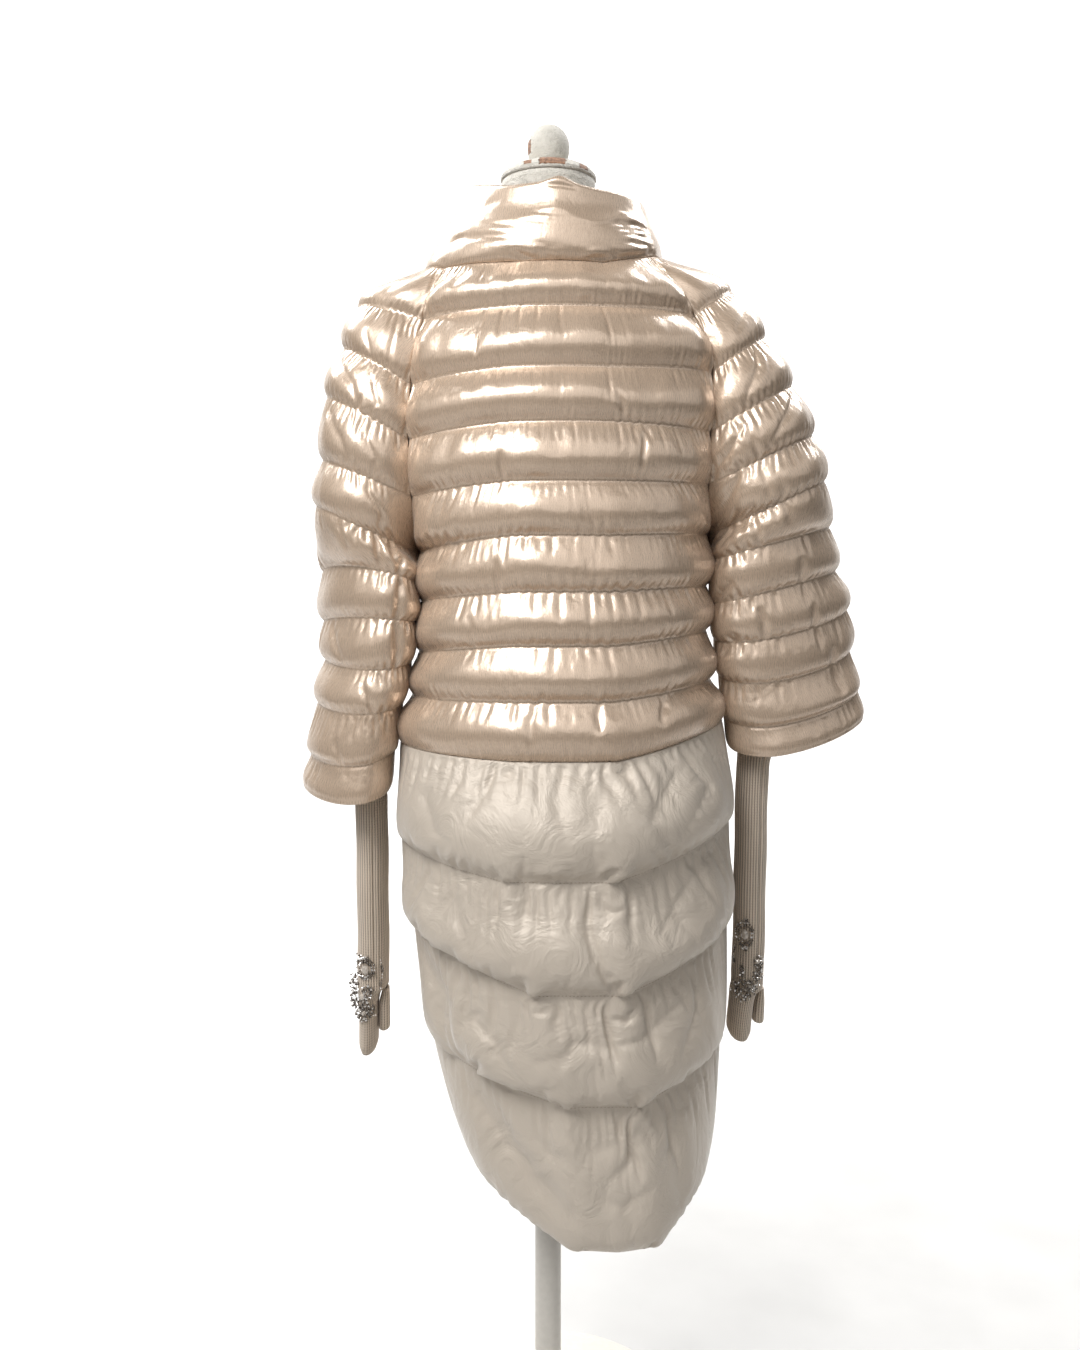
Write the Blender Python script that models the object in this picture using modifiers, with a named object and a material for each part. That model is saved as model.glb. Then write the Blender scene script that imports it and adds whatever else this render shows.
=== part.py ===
"""A long puffer coat on a limbless dress form.

The coat is seen from behind in its own frame: its back faces -Y, the wearer's left is -X and
+Z is up. The origin is on the floor, at the middle of the stand's base.

Lengths along the cloth are counted in lines. On the body, line 0 is the neck seam, lines 1 to 8
are quilting, line 9 is the waist seam, lines 10 to 12 quilt the skirt and line 13 is the hem.
On a sleeve, line 0 is the neck seam, lines 1 to 10 are quilting and line 11 is the hem.
"""
import bmesh
import bpy
import math
import numpy as np

# Driving sizes, in metres
WALL = 0.0025              # cloth, fill and lining where they are stitched down
SEAM_GAP = 0.0003          # between two pieces that meet
SEAM_HOLD = 0.00027        # how far each panel keeps off its own seam line
CHANNEL_HEIGHT = 0.060     # a usual channel of the body
SKIRT_CHANNEL = 0.115      # a usual channel of the skirt
HALF_PANEL = 0.123         # a usual half width of a panel, along the cloth
BODY_PUFF = 0.010          # how far a filled channel stands out over its stitching
SLEEVE_PUFF = 0.0068
SKIRT_PUFF = 0.011
COLLAR_PUFF = 0.010
COLLAR_WALL = 0.004
COLLAR_SLACK = 0.30        # where along the neck the collar is drawn flat, at the left side
OVERLAP = 0.16             # fronts past the centre, as a share of half the front
OVERLAP_LIFT = 0.0080      # the upper front over the lower one
UNDERARM_LINE = 5
WAIST_LINE = 9
HEM_LINE = 13
SLEEVE_HEM_LINE = 11
UNDERARM_TURN = (4 + 1 / 3, 4 + 2 / 3, 4.86)   # extra lines where the armhole turns under
SLOT_TABLE_END = 4.8       # above this line a sleeve's span is read from its table

CAP_RADIUS = 0.056
CAP_RIM = 1.5145
CAP_TOP = 1.530
FINIAL_RADIUS = 0.0245
FINIAL_TOP = 1.575
POLE_RADIUS = 0.016
BASE_RADIUS = 0.165
BASE_HEIGHT = 0.040
KNIT_WALL = 0.0016
RIB_HEIGHT = 0.0009        # the knitted ribs over the grooves between them
RIBS = 36
THUMB_RIBS = 12

# Body lines. x_*, z_*: at the left and right sides and at the middle; gap: half the armhole's
# width; span: how far the half ring turns to its end, in degrees; power: roundness (2 an ellipse).
BODY_COLUMNS = ("line", "z_back", "z_front", "z_left", "z_right", "x_left", "x_back", "x_front",
                "x_right", "y_back", "y_front", "gap", "span", "power", "ridge", "ridge_half")
BODY = (
    (0, 1.388, 1.372, 1.393, 1.405, -0.118, 0.008, 0.008, 0.114, -0.120, 0.105, 0.068, 62, 2.0, 0, 0.05),
    (1, 1.337, 1.325, 1.334, 1.339, -0.141, 0.010, 0.010, 0.162, -0.135, 0.125, 0.078, 60, 2.0, 0, 0.05),
    (2, 1.269, 1.262, 1.261, 1.275, -0.154, 0.011, 0.011, 0.183, -0.155, 0.140, 0.084, 62, 2.0, 0, 0.05),
    (3, 1.210, 1.205, 1.200, 1.208, -0.157, 0.011, 0.011, 0.181, -0.165, 0.147, 0.086, 64, 2.0, 0, 0.05),
    (4, 1.147, 1.143, 1.137, 1.150, -0.155, 0.011, 0.011, 0.180, -0.170, 0.150, 0.076, 68, 2.0, 0, 0.05),
    (4.5, 1.118, 1.115, 1.106, 1.123, -0.153, 0.011, 0.011, 0.183, -0.170, 0.150, 0.056, 74, 2.05, 0, 0.05),
    (4.8, 1.101, 1.098, 1.088, 1.107, -0.152, 0.011, 0.011, 0.185, -0.170, 0.150, 0.035, 82, 2.1, 0, 0.05),
    (5, 1.089, 1.086, 1.076, 1.096, -0.152, 0.011, 0.011, 0.187, -0.170, 0.150, 0, 90, 2.1, 0, 0.05),
    (6, 1.029, 1.026, 1.019, 1.037, -0.152, 0.012, 0.012, 0.187, -0.170, 0.150, 0, 90, 2.1, 0, 0.05),
    (7, 0.971, 0.968, 0.960, 0.985, -0.154, 0.013, 0.013, 0.187, -0.170, 0.150, 0, 90, 2.1, 0, 0.05),
    (8, 0.911, 0.909, 0.909, 0.928, -0.162, 0.014, 0.014, 0.192, -0.172, 0.152, 0, 90, 2.1, 0, 0.05),
    (9, 0.847, 0.848, 0.853, 0.880, -0.1765, 0.016, 0.016, 0.206, -0.175, 0.155, 0, 90, 2.1, 0.001, 0.055),
    (10, 0.722, 0.735, 0.740, 0.764, -0.1755, 0.012, 0.018, 0.216, -0.198, 0.160, 0, 90, 1.95, 0.006, 0.057),
    (11, 0.602, 0.630, 0.643, 0.643, -0.163, 0.032, 0.026, 0.215, -0.202, 0.150, 0, 90, 1.85, 0.007, 0.045),
    (12, 0.475, 0.505, 0.506, 0.508, -0.142, 0.057, 0.035, 0.209, -0.185, 0.120, 0, 90, 1.8, 0.007, 0.038),
    (13, 0.303, 0.385, 0.357, 0.357, -0.097, 0.073, 0.048, 0.190, -0.165, 0.085, 0, 90, 1.75, 0.005, 0.046),
)
RIDGE_WIDTH = 0.016        # the soft vertical ridges of the skirt's back

# Sleeve lines. out: the outer side; in: the side next to the body, read below the underarm;
# lean, depth, dip: from the middle of a ring to its back; power: below 2 the back is cornered.
SLEEVE_COLUMNS = ("line", "x_out", "z_out", "x_in", "z_in", "lean", "depth", "dip", "span", "power")
SLEEVE_LEFT = (
    (0, -0.146, 1.404, -0.118, 1.393, 0, 0.080, 0, 60, 2.0),
    (1, -0.224, 1.362, -0.141, 1.334, 0, 0.080, 0, 90, 2.0),
    (2, -0.240, 1.313, -0.154, 1.261, 0, 0.088, 0, 110, 2.0),
    (3, -0.260, 1.257, -0.157, 1.200, 0, 0.094, 0, 120, 2.0),
    (4, -0.266, 1.184, -0.155, 1.137, 0, 0.095, 0, 130, 2.0),
    (4.5, -0.270, 1.158, -0.153, 1.106, 0, 0.095, 0, 145, 2.0),
    (4.8, -0.273, 1.142, -0.152, 1.088, 0, 0.095, 0, 158.4, 2.0),
    (5, -0.274, 1.131, -0.152, 1.076, 0, 0.095, 0, 180, 2.0),
    (6, -0.266, 1.058, -0.163, 1.033, 0.035, 0.092, 0.006, 180, 2.0),
    (7, -0.265, 0.997, -0.165, 0.989, 0.035, 0.090, 0.006, 180, 2.0),
    (8, -0.266, 0.947, -0.167, 0.952, 0.026, 0.088, -0.008, 180, 1.95),
    (9, -0.276, 0.896, -0.176, 0.904, 0.024, 0.088, -0.009, 180, 1.9),
    (10, -0.284, 0.834, -0.186, 0.850, 0.024, 0.086, -0.010, 180, 1.85),
    (11, -0.292, 0.796, -0.190, 0.811, 0.024, 0.086, -0.016, 180, 1.8),
)
SLEEVE_RIGHT = (
    (0, 0.131, 1.416, 0.114, 1.405, 0, 0.080, 0, 60, 2.0),
    (1, 0.216, 1.377, 0.162, 1.339, 0, 0.080, 0, 90, 2.0),
    (2, 0.253, 1.325, 0.183, 1.275, 0, 0.088, 0, 110, 2.0),
    (3, 0.285, 1.269, 0.181, 1.208, 0, 0.094, 0, 120, 2.0),
    (4, 0.310, 1.213, 0.180, 1.150, 0, 0.095, 0, 130, 2.0),
    (4.5, 0.317, 1.186, 0.183, 1.123, 0, 0.095, 0, 145, 2.0),
    (4.8, 0.322, 1.170, 0.185, 1.107, 0, 0.095, 0, 158.4, 2.0),
    (5, 0.325, 1.160, 0.187, 1.096, 0, 0.095, 0, 180, 2.0),
    (6, 0.334, 1.106, 0.197, 1.069, -0.030, 0.086, -0.008, 180, 2.0),
    (7, 0.341, 1.053, 0.199, 1.019, -0.036, 0.078, -0.010, 180, 1.95),
    (8, 0.354, 1.004, 0.203, 0.982, -0.039, 0.072, -0.019, 180, 1.9),
    (9, 0.358, 0.954, 0.2085, 0.943, -0.039, 0.066, -0.024, 180, 1.85),
    (10, 0.369, 0.906, 0.2145, 0.894, -0.038, 0.063, -0.026, 180, 1.8),
    (11, 0.374, 0.874, 0.2185, 0.861, -0.036, 0.062, -0.028, 180, 1.75),
)

NECK_MIDDLE = (0.002, 0.0)
# The collar's top edge, by the angle about the neck from the back, in degrees
COLLAR_COLUMNS = ("angle", "x", "y", "z")
COLLAR_TOP = (
    (-180, 0.010, 0.100, 1.478),
    (-130, -0.058, 0.078, 1.490),
    (-100, -0.089, 0.025, 1.502),
    (-88, -0.090, -0.002, 1.502),
    (-65, -0.074, -0.050, 1.491),
    (-35, -0.040, -0.092, 1.477),
    (0, 0.012, -0.110, 1.475),
    (35, 0.062, -0.092, 1.471),
    (65, 0.103, -0.050, 1.472),
    (90, 0.114, 0.000, 1.468),
    (130, 0.076, 0.070, 1.470),
    (180, 0.010, 0.100, 1.478),
)

# Knit gloves hanging in the sleeves, from inside the sleeve down: middle and half widths
TUBE_COLUMNS = ("z", "x", "lean", "x_half", "y_half")
GLOVE_LEFT = (
    (0.875, -0.228, 0.018, 0.034, 0.062),
    (0.845, -0.229, 0.016, 0.031, 0.055),
    (0.812, -0.225, 0.008, 0.025, 0.045),
    (0.780, -0.2135, 0, 0.0192, 0.037),
    (0.568, -0.2127, 0, 0.0190, 0.034),
    (0.548, -0.2175, 0, 0.0141, 0.035),
    (0.528, -0.2188, 0, 0.0116, 0.035),
    (0.484, -0.2190, 0, 0.0112, 0.034),
    (0.474, -0.2190, 0, 0.0085, 0.030),
)
THUMB_LEFT = (
    (0.548, -0.1974, 0, 0.0042, 0.011),
    (0.528, -0.1998, 0, 0.0068, 0.015),
    (0.504, -0.2000, 0, 0.0070, 0.015),
    (0.499, -0.2000, 0, 0.0062, 0.014),
)
GLOVE_RIGHT = (
    (0.945, 0.279, -0.026, 0.050, 0.043),
    (0.915, 0.277, -0.024, 0.044, 0.040),
    (0.880, 0.2680, -0.012, 0.032, 0.036),
    (0.850, 0.2525, -0.003, 0.0235, 0.035),
    (0.820, 0.2465, 0, 0.0190, 0.034),
    (0.572, 0.2440, 0, 0.0190, 0.034),
    (0.548, 0.2378, 0, 0.0152, 0.035),
    (0.528, 0.2346, 0, 0.0142, 0.035),
    (0.500, 0.2325, 0, 0.0140, 0.034),
    (0.491, 0.2325, 0, 0.0105, 0.030),
)
THUMB_RIGHT = (
    (0.548, 0.2587, 0, 0.0044, 0.011),
    (0.528, 0.2566, 0, 0.0072, 0.015),
    (0.514, 0.2560, 0, 0.0074, 0.015),
    (0.508, 0.2560, 0, 0.0066, 0.014),
)
# Stones sewn on the back of each glove: place on the knit and half sizes
STONE_COLUMNS = ("z", "across", "x_half", "z_half", "y_half")
STONES_LEFT = (
    (0.580, -0.25, 0.0052, 0.0060, 0.0028),
    (0.547, -0.25, 0.0036, 0.0044, 0.0024),
    (0.528, -0.10, 0.0034, 0.0034, 0.0024),
)
STONES_RIGHT = (
    (0.622, -0.45, 0.0052, 0.0060, 0.0028),
    (0.590, 0.25, 0.0034, 0.0034, 0.0024),
    (0.558, -0.16, 0.0036, 0.0044, 0.0024),
)

# The dress form: half width, depth to the back, depth to the front
FORM_COLUMNS = ("z", "x_half", "y_back", "y_front")
FORM = (
    (1.508, 0.0545, 0.0545, 0.0545),
    (1.470, 0.0550, 0.0550, 0.0550),
    (1.448, 0.0620, 0.0580, 0.0560),
    (1.430, 0.0840, 0.0640, 0.0600),
    (1.410, 0.1140, 0.0720, 0.0680),
    (1.390, 0.1400, 0.0800, 0.0760),
    (1.365, 0.1600, 0.0880, 0.0850),
    (1.330, 0.1640, 0.1000, 0.0980),
    (1.270, 0.1480, 0.1140, 0.1120),
    (1.180, 0.1370, 0.1160, 0.1180),
    (1.100, 0.1300, 0.1080, 0.1080),
    (1.020, 0.1200, 0.0980, 0.0960),
    (0.940, 0.1300, 0.1080, 0.1020),
    (0.860, 0.1440, 0.1240, 0.1120),
    (0.800, 0.1460, 0.1280, 0.1120),
    (0.765, 0.1380, 0.1200, 0.1040),
    (0.752, 0.1180, 0.1020, 0.0880),
)


def curve_through(table, columns, at):
    """A table's columns at any line: a monotone cubic, which never passes beyond a row."""
    rows = np.array(table, float)
    keys, values = rows[:, 0], rows[:, 1:]
    at = np.asarray(at, float)
    step = np.diff(keys)[:, None]
    slope = np.diff(values, axis=0) / step
    product = slope[:-1] * slope[1:]
    total = np.where(product > 0, slope[:-1] + slope[1:], 1.0)
    tangent = np.vstack([slope[:1], np.where(product > 0, 2.0 * product / total, 0.0), slope[-1:]])
    first = np.clip(np.searchsorted(keys, at, side="right") - 1, 0, len(keys) - 2)
    width = (keys[first + 1] - keys[first])[..., None]
    u = (at[..., None] - keys[first][..., None]) / width
    result = ((2 * u ** 3 - 3 * u ** 2 + 1) * values[first]
              + (u ** 3 - 2 * u ** 2 + u) * width * tangent[first]
              + (3 * u ** 2 - 2 * u ** 3) * values[first + 1]
              + (u ** 3 - u ** 2) * width * tangent[first + 1])
    return {name: result[..., i] for i, name in enumerate(columns[1:])}


def smooth(value, low, high):
    """0 below low, 1 above high and a smooth step between."""
    u = np.clip((value - low) / (high - low), 0.0, 1.0)
    return u * u * (3.0 - 2.0 * u)


def rounded(value, power):
    """A sine or cosine raised to the power that squares or sharpens an ellipse."""
    return np.sign(value) * np.abs(value) ** (2.0 / power)


def body_point(line, across, face):
    """The stitched face of the body. across runs -1 to 1, left to right; face -1 back, 1 front."""
    line, across = np.broadcast_arrays(np.asarray(line, float), np.asarray(across, float))
    row = curve_through(BODY, BODY_COLUMNS, line)
    span = np.radians(row["span"])
    end_sine = rounded(np.sin(span), row["power"])
    end_cosine = rounded(np.cos(span), row["power"])
    reach = rounded(np.sin(across * span), row["power"]) / end_sine
    swell = (rounded(np.cos(across * span), row["power"]) - end_cosine) / (1.0 - end_cosine)
    x_side = np.where(across < 0, row["x_left"], row["x_right"])
    z_side = np.where(across < 0, row["z_left"], row["z_right"])
    y_side = face * row["gap"]
    x_mid = row["x_back"] if face < 0 else row["x_front"]
    y_mid = row["y_back"] if face < 0 else row["y_front"]
    z_mid = row["z_back"] if face < 0 else row["z_front"]
    x = x_mid + (x_side - x_mid) * np.abs(reach)
    y = y_side + (y_mid - y_side) * swell
    half_width = np.abs(x_side - x_mid)
    flat = row["ridge_half"]
    beyond = np.clip((np.abs(x - x_mid) - flat) / (half_width - flat), 0.0, 2.0)
    z = z_mid + (z_side - z_mid) * beyond ** 1.2
    if face < 0:
        ridges = sum(np.exp(-((x - x_mid - side * row["ridge_half"]) / RIDGE_WIDTH) ** 2)
                     for side in (-1, 1))
        y = y - row["ridge"] * ridges
    return np.stack([x, y, z], axis=-1)


def sleeve_point(line, turn, table):
    """The stitched face of a sleeve. turn runs -1 to 1, back seam over the outer side to front."""
    line, turn = np.broadcast_arrays(np.asarray(line, float), np.asarray(turn, float))
    row = curve_through(table, SLEEVE_COLUMNS, line)
    gap = curve_through(BODY, BODY_COLUMNS, line)["gap"]
    near_end = line >= SLOT_TABLE_END
    closing = np.pi - np.arcsin(np.clip(gap / row["depth"], 0.0, 1.0))
    span = np.where(near_end, closing, np.radians(row["span"]))
    sine = np.where(near_end, 1.0, rounded(np.sin(span), row["power"]))
    depth = np.where(near_end, row["depth"], gap / sine)
    angle = turn * span
    end_cosine = rounded(np.cos(span), row["power"])
    outward = rounded(np.cos(angle), row["power"]) - end_cosine
    around = rounded(np.sin(angle), row["power"])
    x = row["x_in"] + (row["x_out"] - row["x_in"]) * outward / (1.0 - end_cosine)
    z = row["z_in"] + (row["z_out"] - row["z_in"]) * outward / (1.0 - end_cosine)
    return np.stack([x - row["lean"] * around, depth * around, z - row["dip"] * around], axis=-1)


def normals(point, line, turn, sign):
    """Unit normals of a surface, from small steps along its lines and across them."""
    step = 1e-4
    down = point(line + step, turn) - point(line - step, turn)
    across = point(line, turn + step) - point(line, turn - step)
    direction = sign * np.cross(across, down)
    return direction / np.maximum(np.linalg.norm(direction, axis=-1, keepdims=True), 1e-12)


def channel(line):
    """The fill between two quilting lines: 0 on a line and 1 half way between."""
    return np.abs(np.sin(np.pi * np.asarray(line, float))) ** 0.7


def body_puff(line, across, face):
    """How far the fill lifts the body's cloth over its stitching."""
    skirt = smooth(line, WAIST_LINE - 0.3, WAIST_LINE + 0.3)
    height = BODY_PUFF + (SKIRT_PUFF - BODY_PUFF) * skirt
    beside_arm = smooth(line, 2.0, 4.5) * smooth(np.abs(across), 0.68, 0.92)
    raglan = 1.0 - 0.5 * smooth(line, UNDERARM_LINE, UNDERARM_LINE + 1)
    edge = 1.0 - raglan * smooth(np.abs(across), 0.84, 1.0)
    return height * channel(line) * edge * (1.0 - (0.6 + 0.2 * skirt) * beside_arm)


def sleeve_puff(line, turn):
    """How far the fill lifts a sleeve's cloth, least beside the body."""
    inside = smooth(np.abs(turn), 0.62, 0.92)
    raglan = (1.0 - smooth(line, UNDERARM_LINE, UNDERARM_LINE + 0.5)) * smooth(np.abs(turn), 0.80, 1.0)
    return SLEEVE_PUFF * channel(line) * (1.0 - 0.85 * inside) * (1.0 - raglan)


def overlap_lift(across, layer):
    """How far the upper front stands off to lie over the lower one."""
    return OVERLAP_LIFT * (1.0 - smooth(across, OVERLAP, OVERLAP + 0.30)) * (layer > 0)


def overlap_press(across, layer):
    """The share of its fill that the lower front keeps under the upper one."""
    return 1.0 - 0.75 * (1.0 - smooth(np.abs(across), OVERLAP, OVERLAP + 0.30)) * (layer < 0)


def lines_between(first, last, parts, margin):
    """The lines of a grid: each channel in equal parts, held off both ends by the seam gap."""
    count = int(round((last - first) * parts))
    lines = np.linspace(first, last, count + 1)
    if first < UNDERARM_LINE < last:
        lines = np.unique(np.round(np.append(lines, UNDERARM_TURN), 6))
    lines[0] += margin
    lines[-1] -= margin
    return lines


def wall_object(name, outer, inner, lines, inner_lines, turns, inner_turns, material, joined=None):
    """A closed cloth wall: an outer and a plainer inner grid, bridged along their edges.

    joined is the line from which the grid's first and last columns are one, as on a sleeve.
    """
    points = []
    faces = []
    loops = []
    for grid, grid_lines, grid_turns in ((outer, lines, turns), (inner, inner_lines, inner_turns)):
        rows, columns = grid.shape[:2]
        index = np.arange(rows * columns).reshape(rows, columns) + len(points)
        points.extend(map(tuple, grid.reshape(-1, 3)))
        down = (grid_lines - grid_lines[0]) / (grid_lines[-1] - grid_lines[0])
        along = (grid_turns - grid_turns[0]) / (grid_turns[-1] - grid_turns[0])
        if joined is None:
            loops.append([edge_loop(index, down, along)])
        else:
            start = int(np.argmax(grid_lines >= joined - 1e-6))
            index[start:, -1] = index[start:, 0]
            loops.append(tube_loops(index, down, along, start))
        for i in range(rows - 1):
            for j in range(columns - 1):
                corners = (index[i, j], index[i, j + 1], index[i + 1, j + 1], index[i + 1, j])
                faces.append(tuple(dict.fromkeys(int(c) for c in corners)))
    for outer_loop, inner_loop in zip(loops[0], loops[1]):
        faces.extend(bridge(outer_loop, inner_loop))
    return mesh_object(name, points, faces, material)


def edge_loop(index, down, along):
    """The four edges of a grid as one loop of (place, vertex) pairs."""
    top = list(zip(along, index[0]))
    right = list(zip(1.0 + down, index[:, -1]))
    bottom = [(3.0 - a, v) for a, v in zip(along, index[-1])][::-1]
    left = [(4.0 - d, v) for d, v in zip(down, index[:, 0])][::-1]
    return top + right[1:] + bottom[1:] + left[1:]


def tube_loops(index, down, along, start):
    """A sleeve's two loops: up one raglan seam, over the neck edge and down the other; the hem."""
    up = [(1.0 - d / down[start], v) for d, v in zip(down[:start + 1], index[:start + 1, 0])][::-1]
    over = [(1.0 + a, v) for a, v in zip(along, index[0])]
    back = [(2.0 + d / down[start], v) for d, v in zip(down[:start + 1], index[:start + 1, -1])]
    hem = list(zip(along, index[-1]))
    return [up + over[1:] + back[1:], hem]


def bridge(first, second):
    """Triangles between two loops of (place, vertex) pairs, kept in step by their places."""
    triangles = []
    i = j = 0
    while i < len(first) - 1 or j < len(second) - 1:
        if j == len(second) - 1 or (i < len(first) - 1 and first[i + 1][0] <= second[j + 1][0] + 1e-9):
            triangles.append((int(first[i][1]), int(first[i + 1][1]), int(second[j][1])))
            i += 1
        else:
            triangles.append((int(first[i][1]), int(second[j + 1][1]), int(second[j][1])))
            j += 1
    return triangles


def mesh_object(name, points, faces, material):
    """A mesh object with its faces turned outward."""
    mesh = bpy.data.meshes.new(name)
    mesh.from_pydata(points, [], faces)
    work = bmesh.new()
    work.from_mesh(mesh)
    loose = [v for v in work.verts if not v.link_faces]
    bmesh.ops.delete(work, geom=loose, context="VERTS")
    bmesh.ops.recalc_face_normals(work, faces=work.faces)
    work.to_mesh(mesh)
    work.free()
    mesh.shade_smooth()
    mesh.materials.append(material)
    thing = bpy.data.objects.new(name, mesh)
    COAT.objects.link(thing)
    return thing


def make_material(name, colour, roughness, metallic=0.0):
    """A Principled material."""
    material = bpy.data.materials.new(name)
    material.use_nodes = True
    shader = material.node_tree.nodes["Principled BSDF"]
    shader.inputs["Base Color"].default_value = (*colour, 1.0)
    shader.inputs["Roughness"].default_value = roughness
    shader.inputs["Metallic"].default_value = metallic
    return material


def body_panel(name, first, last, left, right, face, columns, parts, material, layer=0):
    """A panel of the body between two lines and two places across.

    layer is 1 on the front that lies over, -1 on the front that lies under and 0 elsewhere.
    """
    row_margin = SEAM_HOLD / (CHANNEL_HEIGHT if last <= WAIST_LINE else SKIRT_CHANNEL)
    side_margin = SEAM_HOLD / HALF_PANEL
    lines = lines_between(first, last, parts, row_margin)
    inner_lines = lines_between(first, last, 1 if last <= WAIST_LINE else 3, row_margin)
    turns = np.linspace(left + side_margin, right - side_margin, columns + 1)
    inner_turns = turns if layer > 0 else turns[::2]

    def point(line, across):
        return body_point(line, across, face)

    def offset_grid(grid_lines, grid_turns, filled):
        line, across = np.meshgrid(grid_lines, grid_turns, indexing="ij")
        raised, pressed = overlap_lift(across, layer), overlap_press(across, layer)
        away = raised + (body_puff(line, across, face) * pressed if filled else -WALL)
        return point(line, across) + away[..., None] * normals(point, line, across, face)

    return wall_object(name, offset_grid(lines, turns, True), offset_grid(inner_lines, inner_turns, False),
                       lines, inner_lines, turns, inner_turns, material)


def sleeve(name, table, side, columns, parts, material):
    """A raglan sleeve: an arc from seam to seam down to the underarm, and a tube below it."""
    row_margin = SEAM_HOLD / CHANNEL_HEIGHT
    lines = lines_between(0, SLEEVE_HEM_LINE, parts, row_margin)
    lines[-1] = SLEEVE_HEM_LINE
    inner_lines = lines_between(0, SLEEVE_HEM_LINE, 1, row_margin)
    inner_lines[-1] = SLEEVE_HEM_LINE
    turns = np.linspace(-1.0, 1.0, columns + 1)
    inner_turns = turns[::2]

    def point(line, turn):
        return sleeve_point(line, turn, table)

    def offset_grid(grid_lines, grid_turns, filled):
        line, turn = np.meshgrid(grid_lines, grid_turns, indexing="ij")
        turn = turn * np.where(line < UNDERARM_LINE, 1.0 - SEAM_HOLD / HALF_PANEL, 1.0)
        away = sleeve_puff(line, turn) if filled else np.full_like(line, -WALL)
        return point(line, turn) + away[..., None] * normals(point, line, turn, -side)

    return wall_object(name, offset_grid(lines, turns, True), offset_grid(inner_lines, inner_turns, False),
                       lines, inner_lines, turns, inner_turns, material, joined=UNDERARM_LINE)


def neck_edge():
    """The neck seam from the lower front's free edge round to the upper's: x, y, z, lift, press."""
    line = -1.5 * SEAM_GAP / CHANNEL_HEIGHT
    runs = []
    for layer, face, low, high in ((-1, 1, OVERLAP, -1.0), (0, -1, -1.0, 1.0), (1, 1, 1.0, -OVERLAP)):
        across = np.linspace(low, high, 41)
        lift = overlap_lift(across, layer)
        press = overlap_press(across, layer)
        facing = normals(lambda a, b: body_point(a, b, face), line, across, face)
        points = body_point(line, across, face) + lift[:, None] * facing
        runs.append(np.column_stack([points, lift, press]))
    turn = np.linspace(-0.97, 0.97, 25)
    for place, table, order in ((1, SLEEVE_LEFT, -1), (3, SLEEVE_RIGHT, 1)):
        points = sleeve_point(line, turn[::order], table)
        runs.insert(place, np.column_stack([points, np.zeros(len(turn)), np.ones(len(turn))]))
    return np.concatenate(runs)


def collar_point(height, place):
    """The collar's outer face. height runs 0 to 1, seam to top; place 0 to 1 along the seam."""
    height, place = np.broadcast_arrays(np.asarray(height, float), np.asarray(place, float))
    low = along_neck(place)[..., :3]
    angle = np.degrees(np.arctan2(low[..., 0] - NECK_MIDDLE[0], NECK_MIDDLE[1] - low[..., 1]))
    top = curve_through(COLLAR_TOP, COLLAR_COLUMNS, angle)
    top = np.stack([top["x"], top["y"], top["z"]], axis=-1)
    return low + (top - low) * height[..., None]


def along_neck(place):
    """The neck edge's columns at a share of its length."""
    length = np.concatenate([[0.0], np.cumsum(np.linalg.norm(np.diff(NECK_EDGE[:, :3], axis=0), axis=1))])
    return np.stack([np.interp(place * length[-1], length, column) for column in NECK_EDGE.T], axis=-1)


def collar(columns, rows, material):
    """The stand collar: one padded band, its ends overlapping as the fronts do."""
    heights = np.linspace(0.0, 1.0, rows + 1)
    places = np.linspace(0.0, 1.0, columns + 1)
    inner_heights = heights[::2]
    inner_places = places[::2]

    def offset_grid(grid_heights, grid_places, filled):
        height, place = np.meshgrid(grid_heights, grid_places, indexing="ij")
        edge = along_neck(place)
        slack = 1.0 - 0.6 * np.exp(-((place - COLLAR_SLACK) / 0.09) ** 2)
        fill = COLLAR_PUFF * np.sin(np.pi * height) ** 0.6 * edge[..., 4] * slack
        away = edge[..., 3] * height + (fill if filled else -COLLAR_WALL)
        safe = np.clip(place, 0.001, 0.999)
        return collar_point(height, place) + away[..., None] * normals(collar_point, height, safe, 1)

    return wall_object("collar", offset_grid(heights, places, True),
                       offset_grid(inner_heights, inner_places, False),
                       heights, inner_heights, places, inner_places, material)


def knit_tube(name, table, ribs, material):
    """A ribbed tube open at both ends: two columns to a rib outside, plain inside."""
    rows = np.array(table)
    points = []
    faces = []
    rims = []
    ribbed = np.where(np.arange(2 * ribs) % 2 == 0, 0.0, -RIB_HEIGHT)
    plain = np.full(ribs // 2, -RIB_HEIGHT - KNIT_WALL)
    for offsets in (ribbed, plain):
        count = len(offsets)
        angle = np.arange(count) * 2.0 * np.pi / count
        z, x_mid, lean, x_half, y_half = (rows[:, i:i + 1] for i in range(5))
        x = x_mid + (x_half + offsets) * np.sin(angle) + lean * np.cos(angle)
        y = -(y_half + offsets) * np.cos(angle)
        grid = np.stack([x, y, z + 0.0 * x], axis=-1)
        index = np.arange(len(rows) * count).reshape(len(rows), count) + len(points)
        index = np.concatenate([index, index[:, :1]], axis=1)
        points.extend(map(tuple, grid.reshape(-1, 3)))
        for i in range(len(rows) - 1):
            for j in range(count):
                faces.append((int(index[i, j]), int(index[i, j + 1]),
                              int(index[i + 1, j + 1]), int(index[i + 1, j])))
        rims.append([list(zip(np.linspace(0.0, 1.0, count + 1), index[i])) for i in (0, -1)])
    for outer_rim, inner_rim in zip(rims[0], rims[1]):
        faces.extend(bridge(outer_rim, inner_rim))
    return mesh_object(name, points, faces, material)


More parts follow.
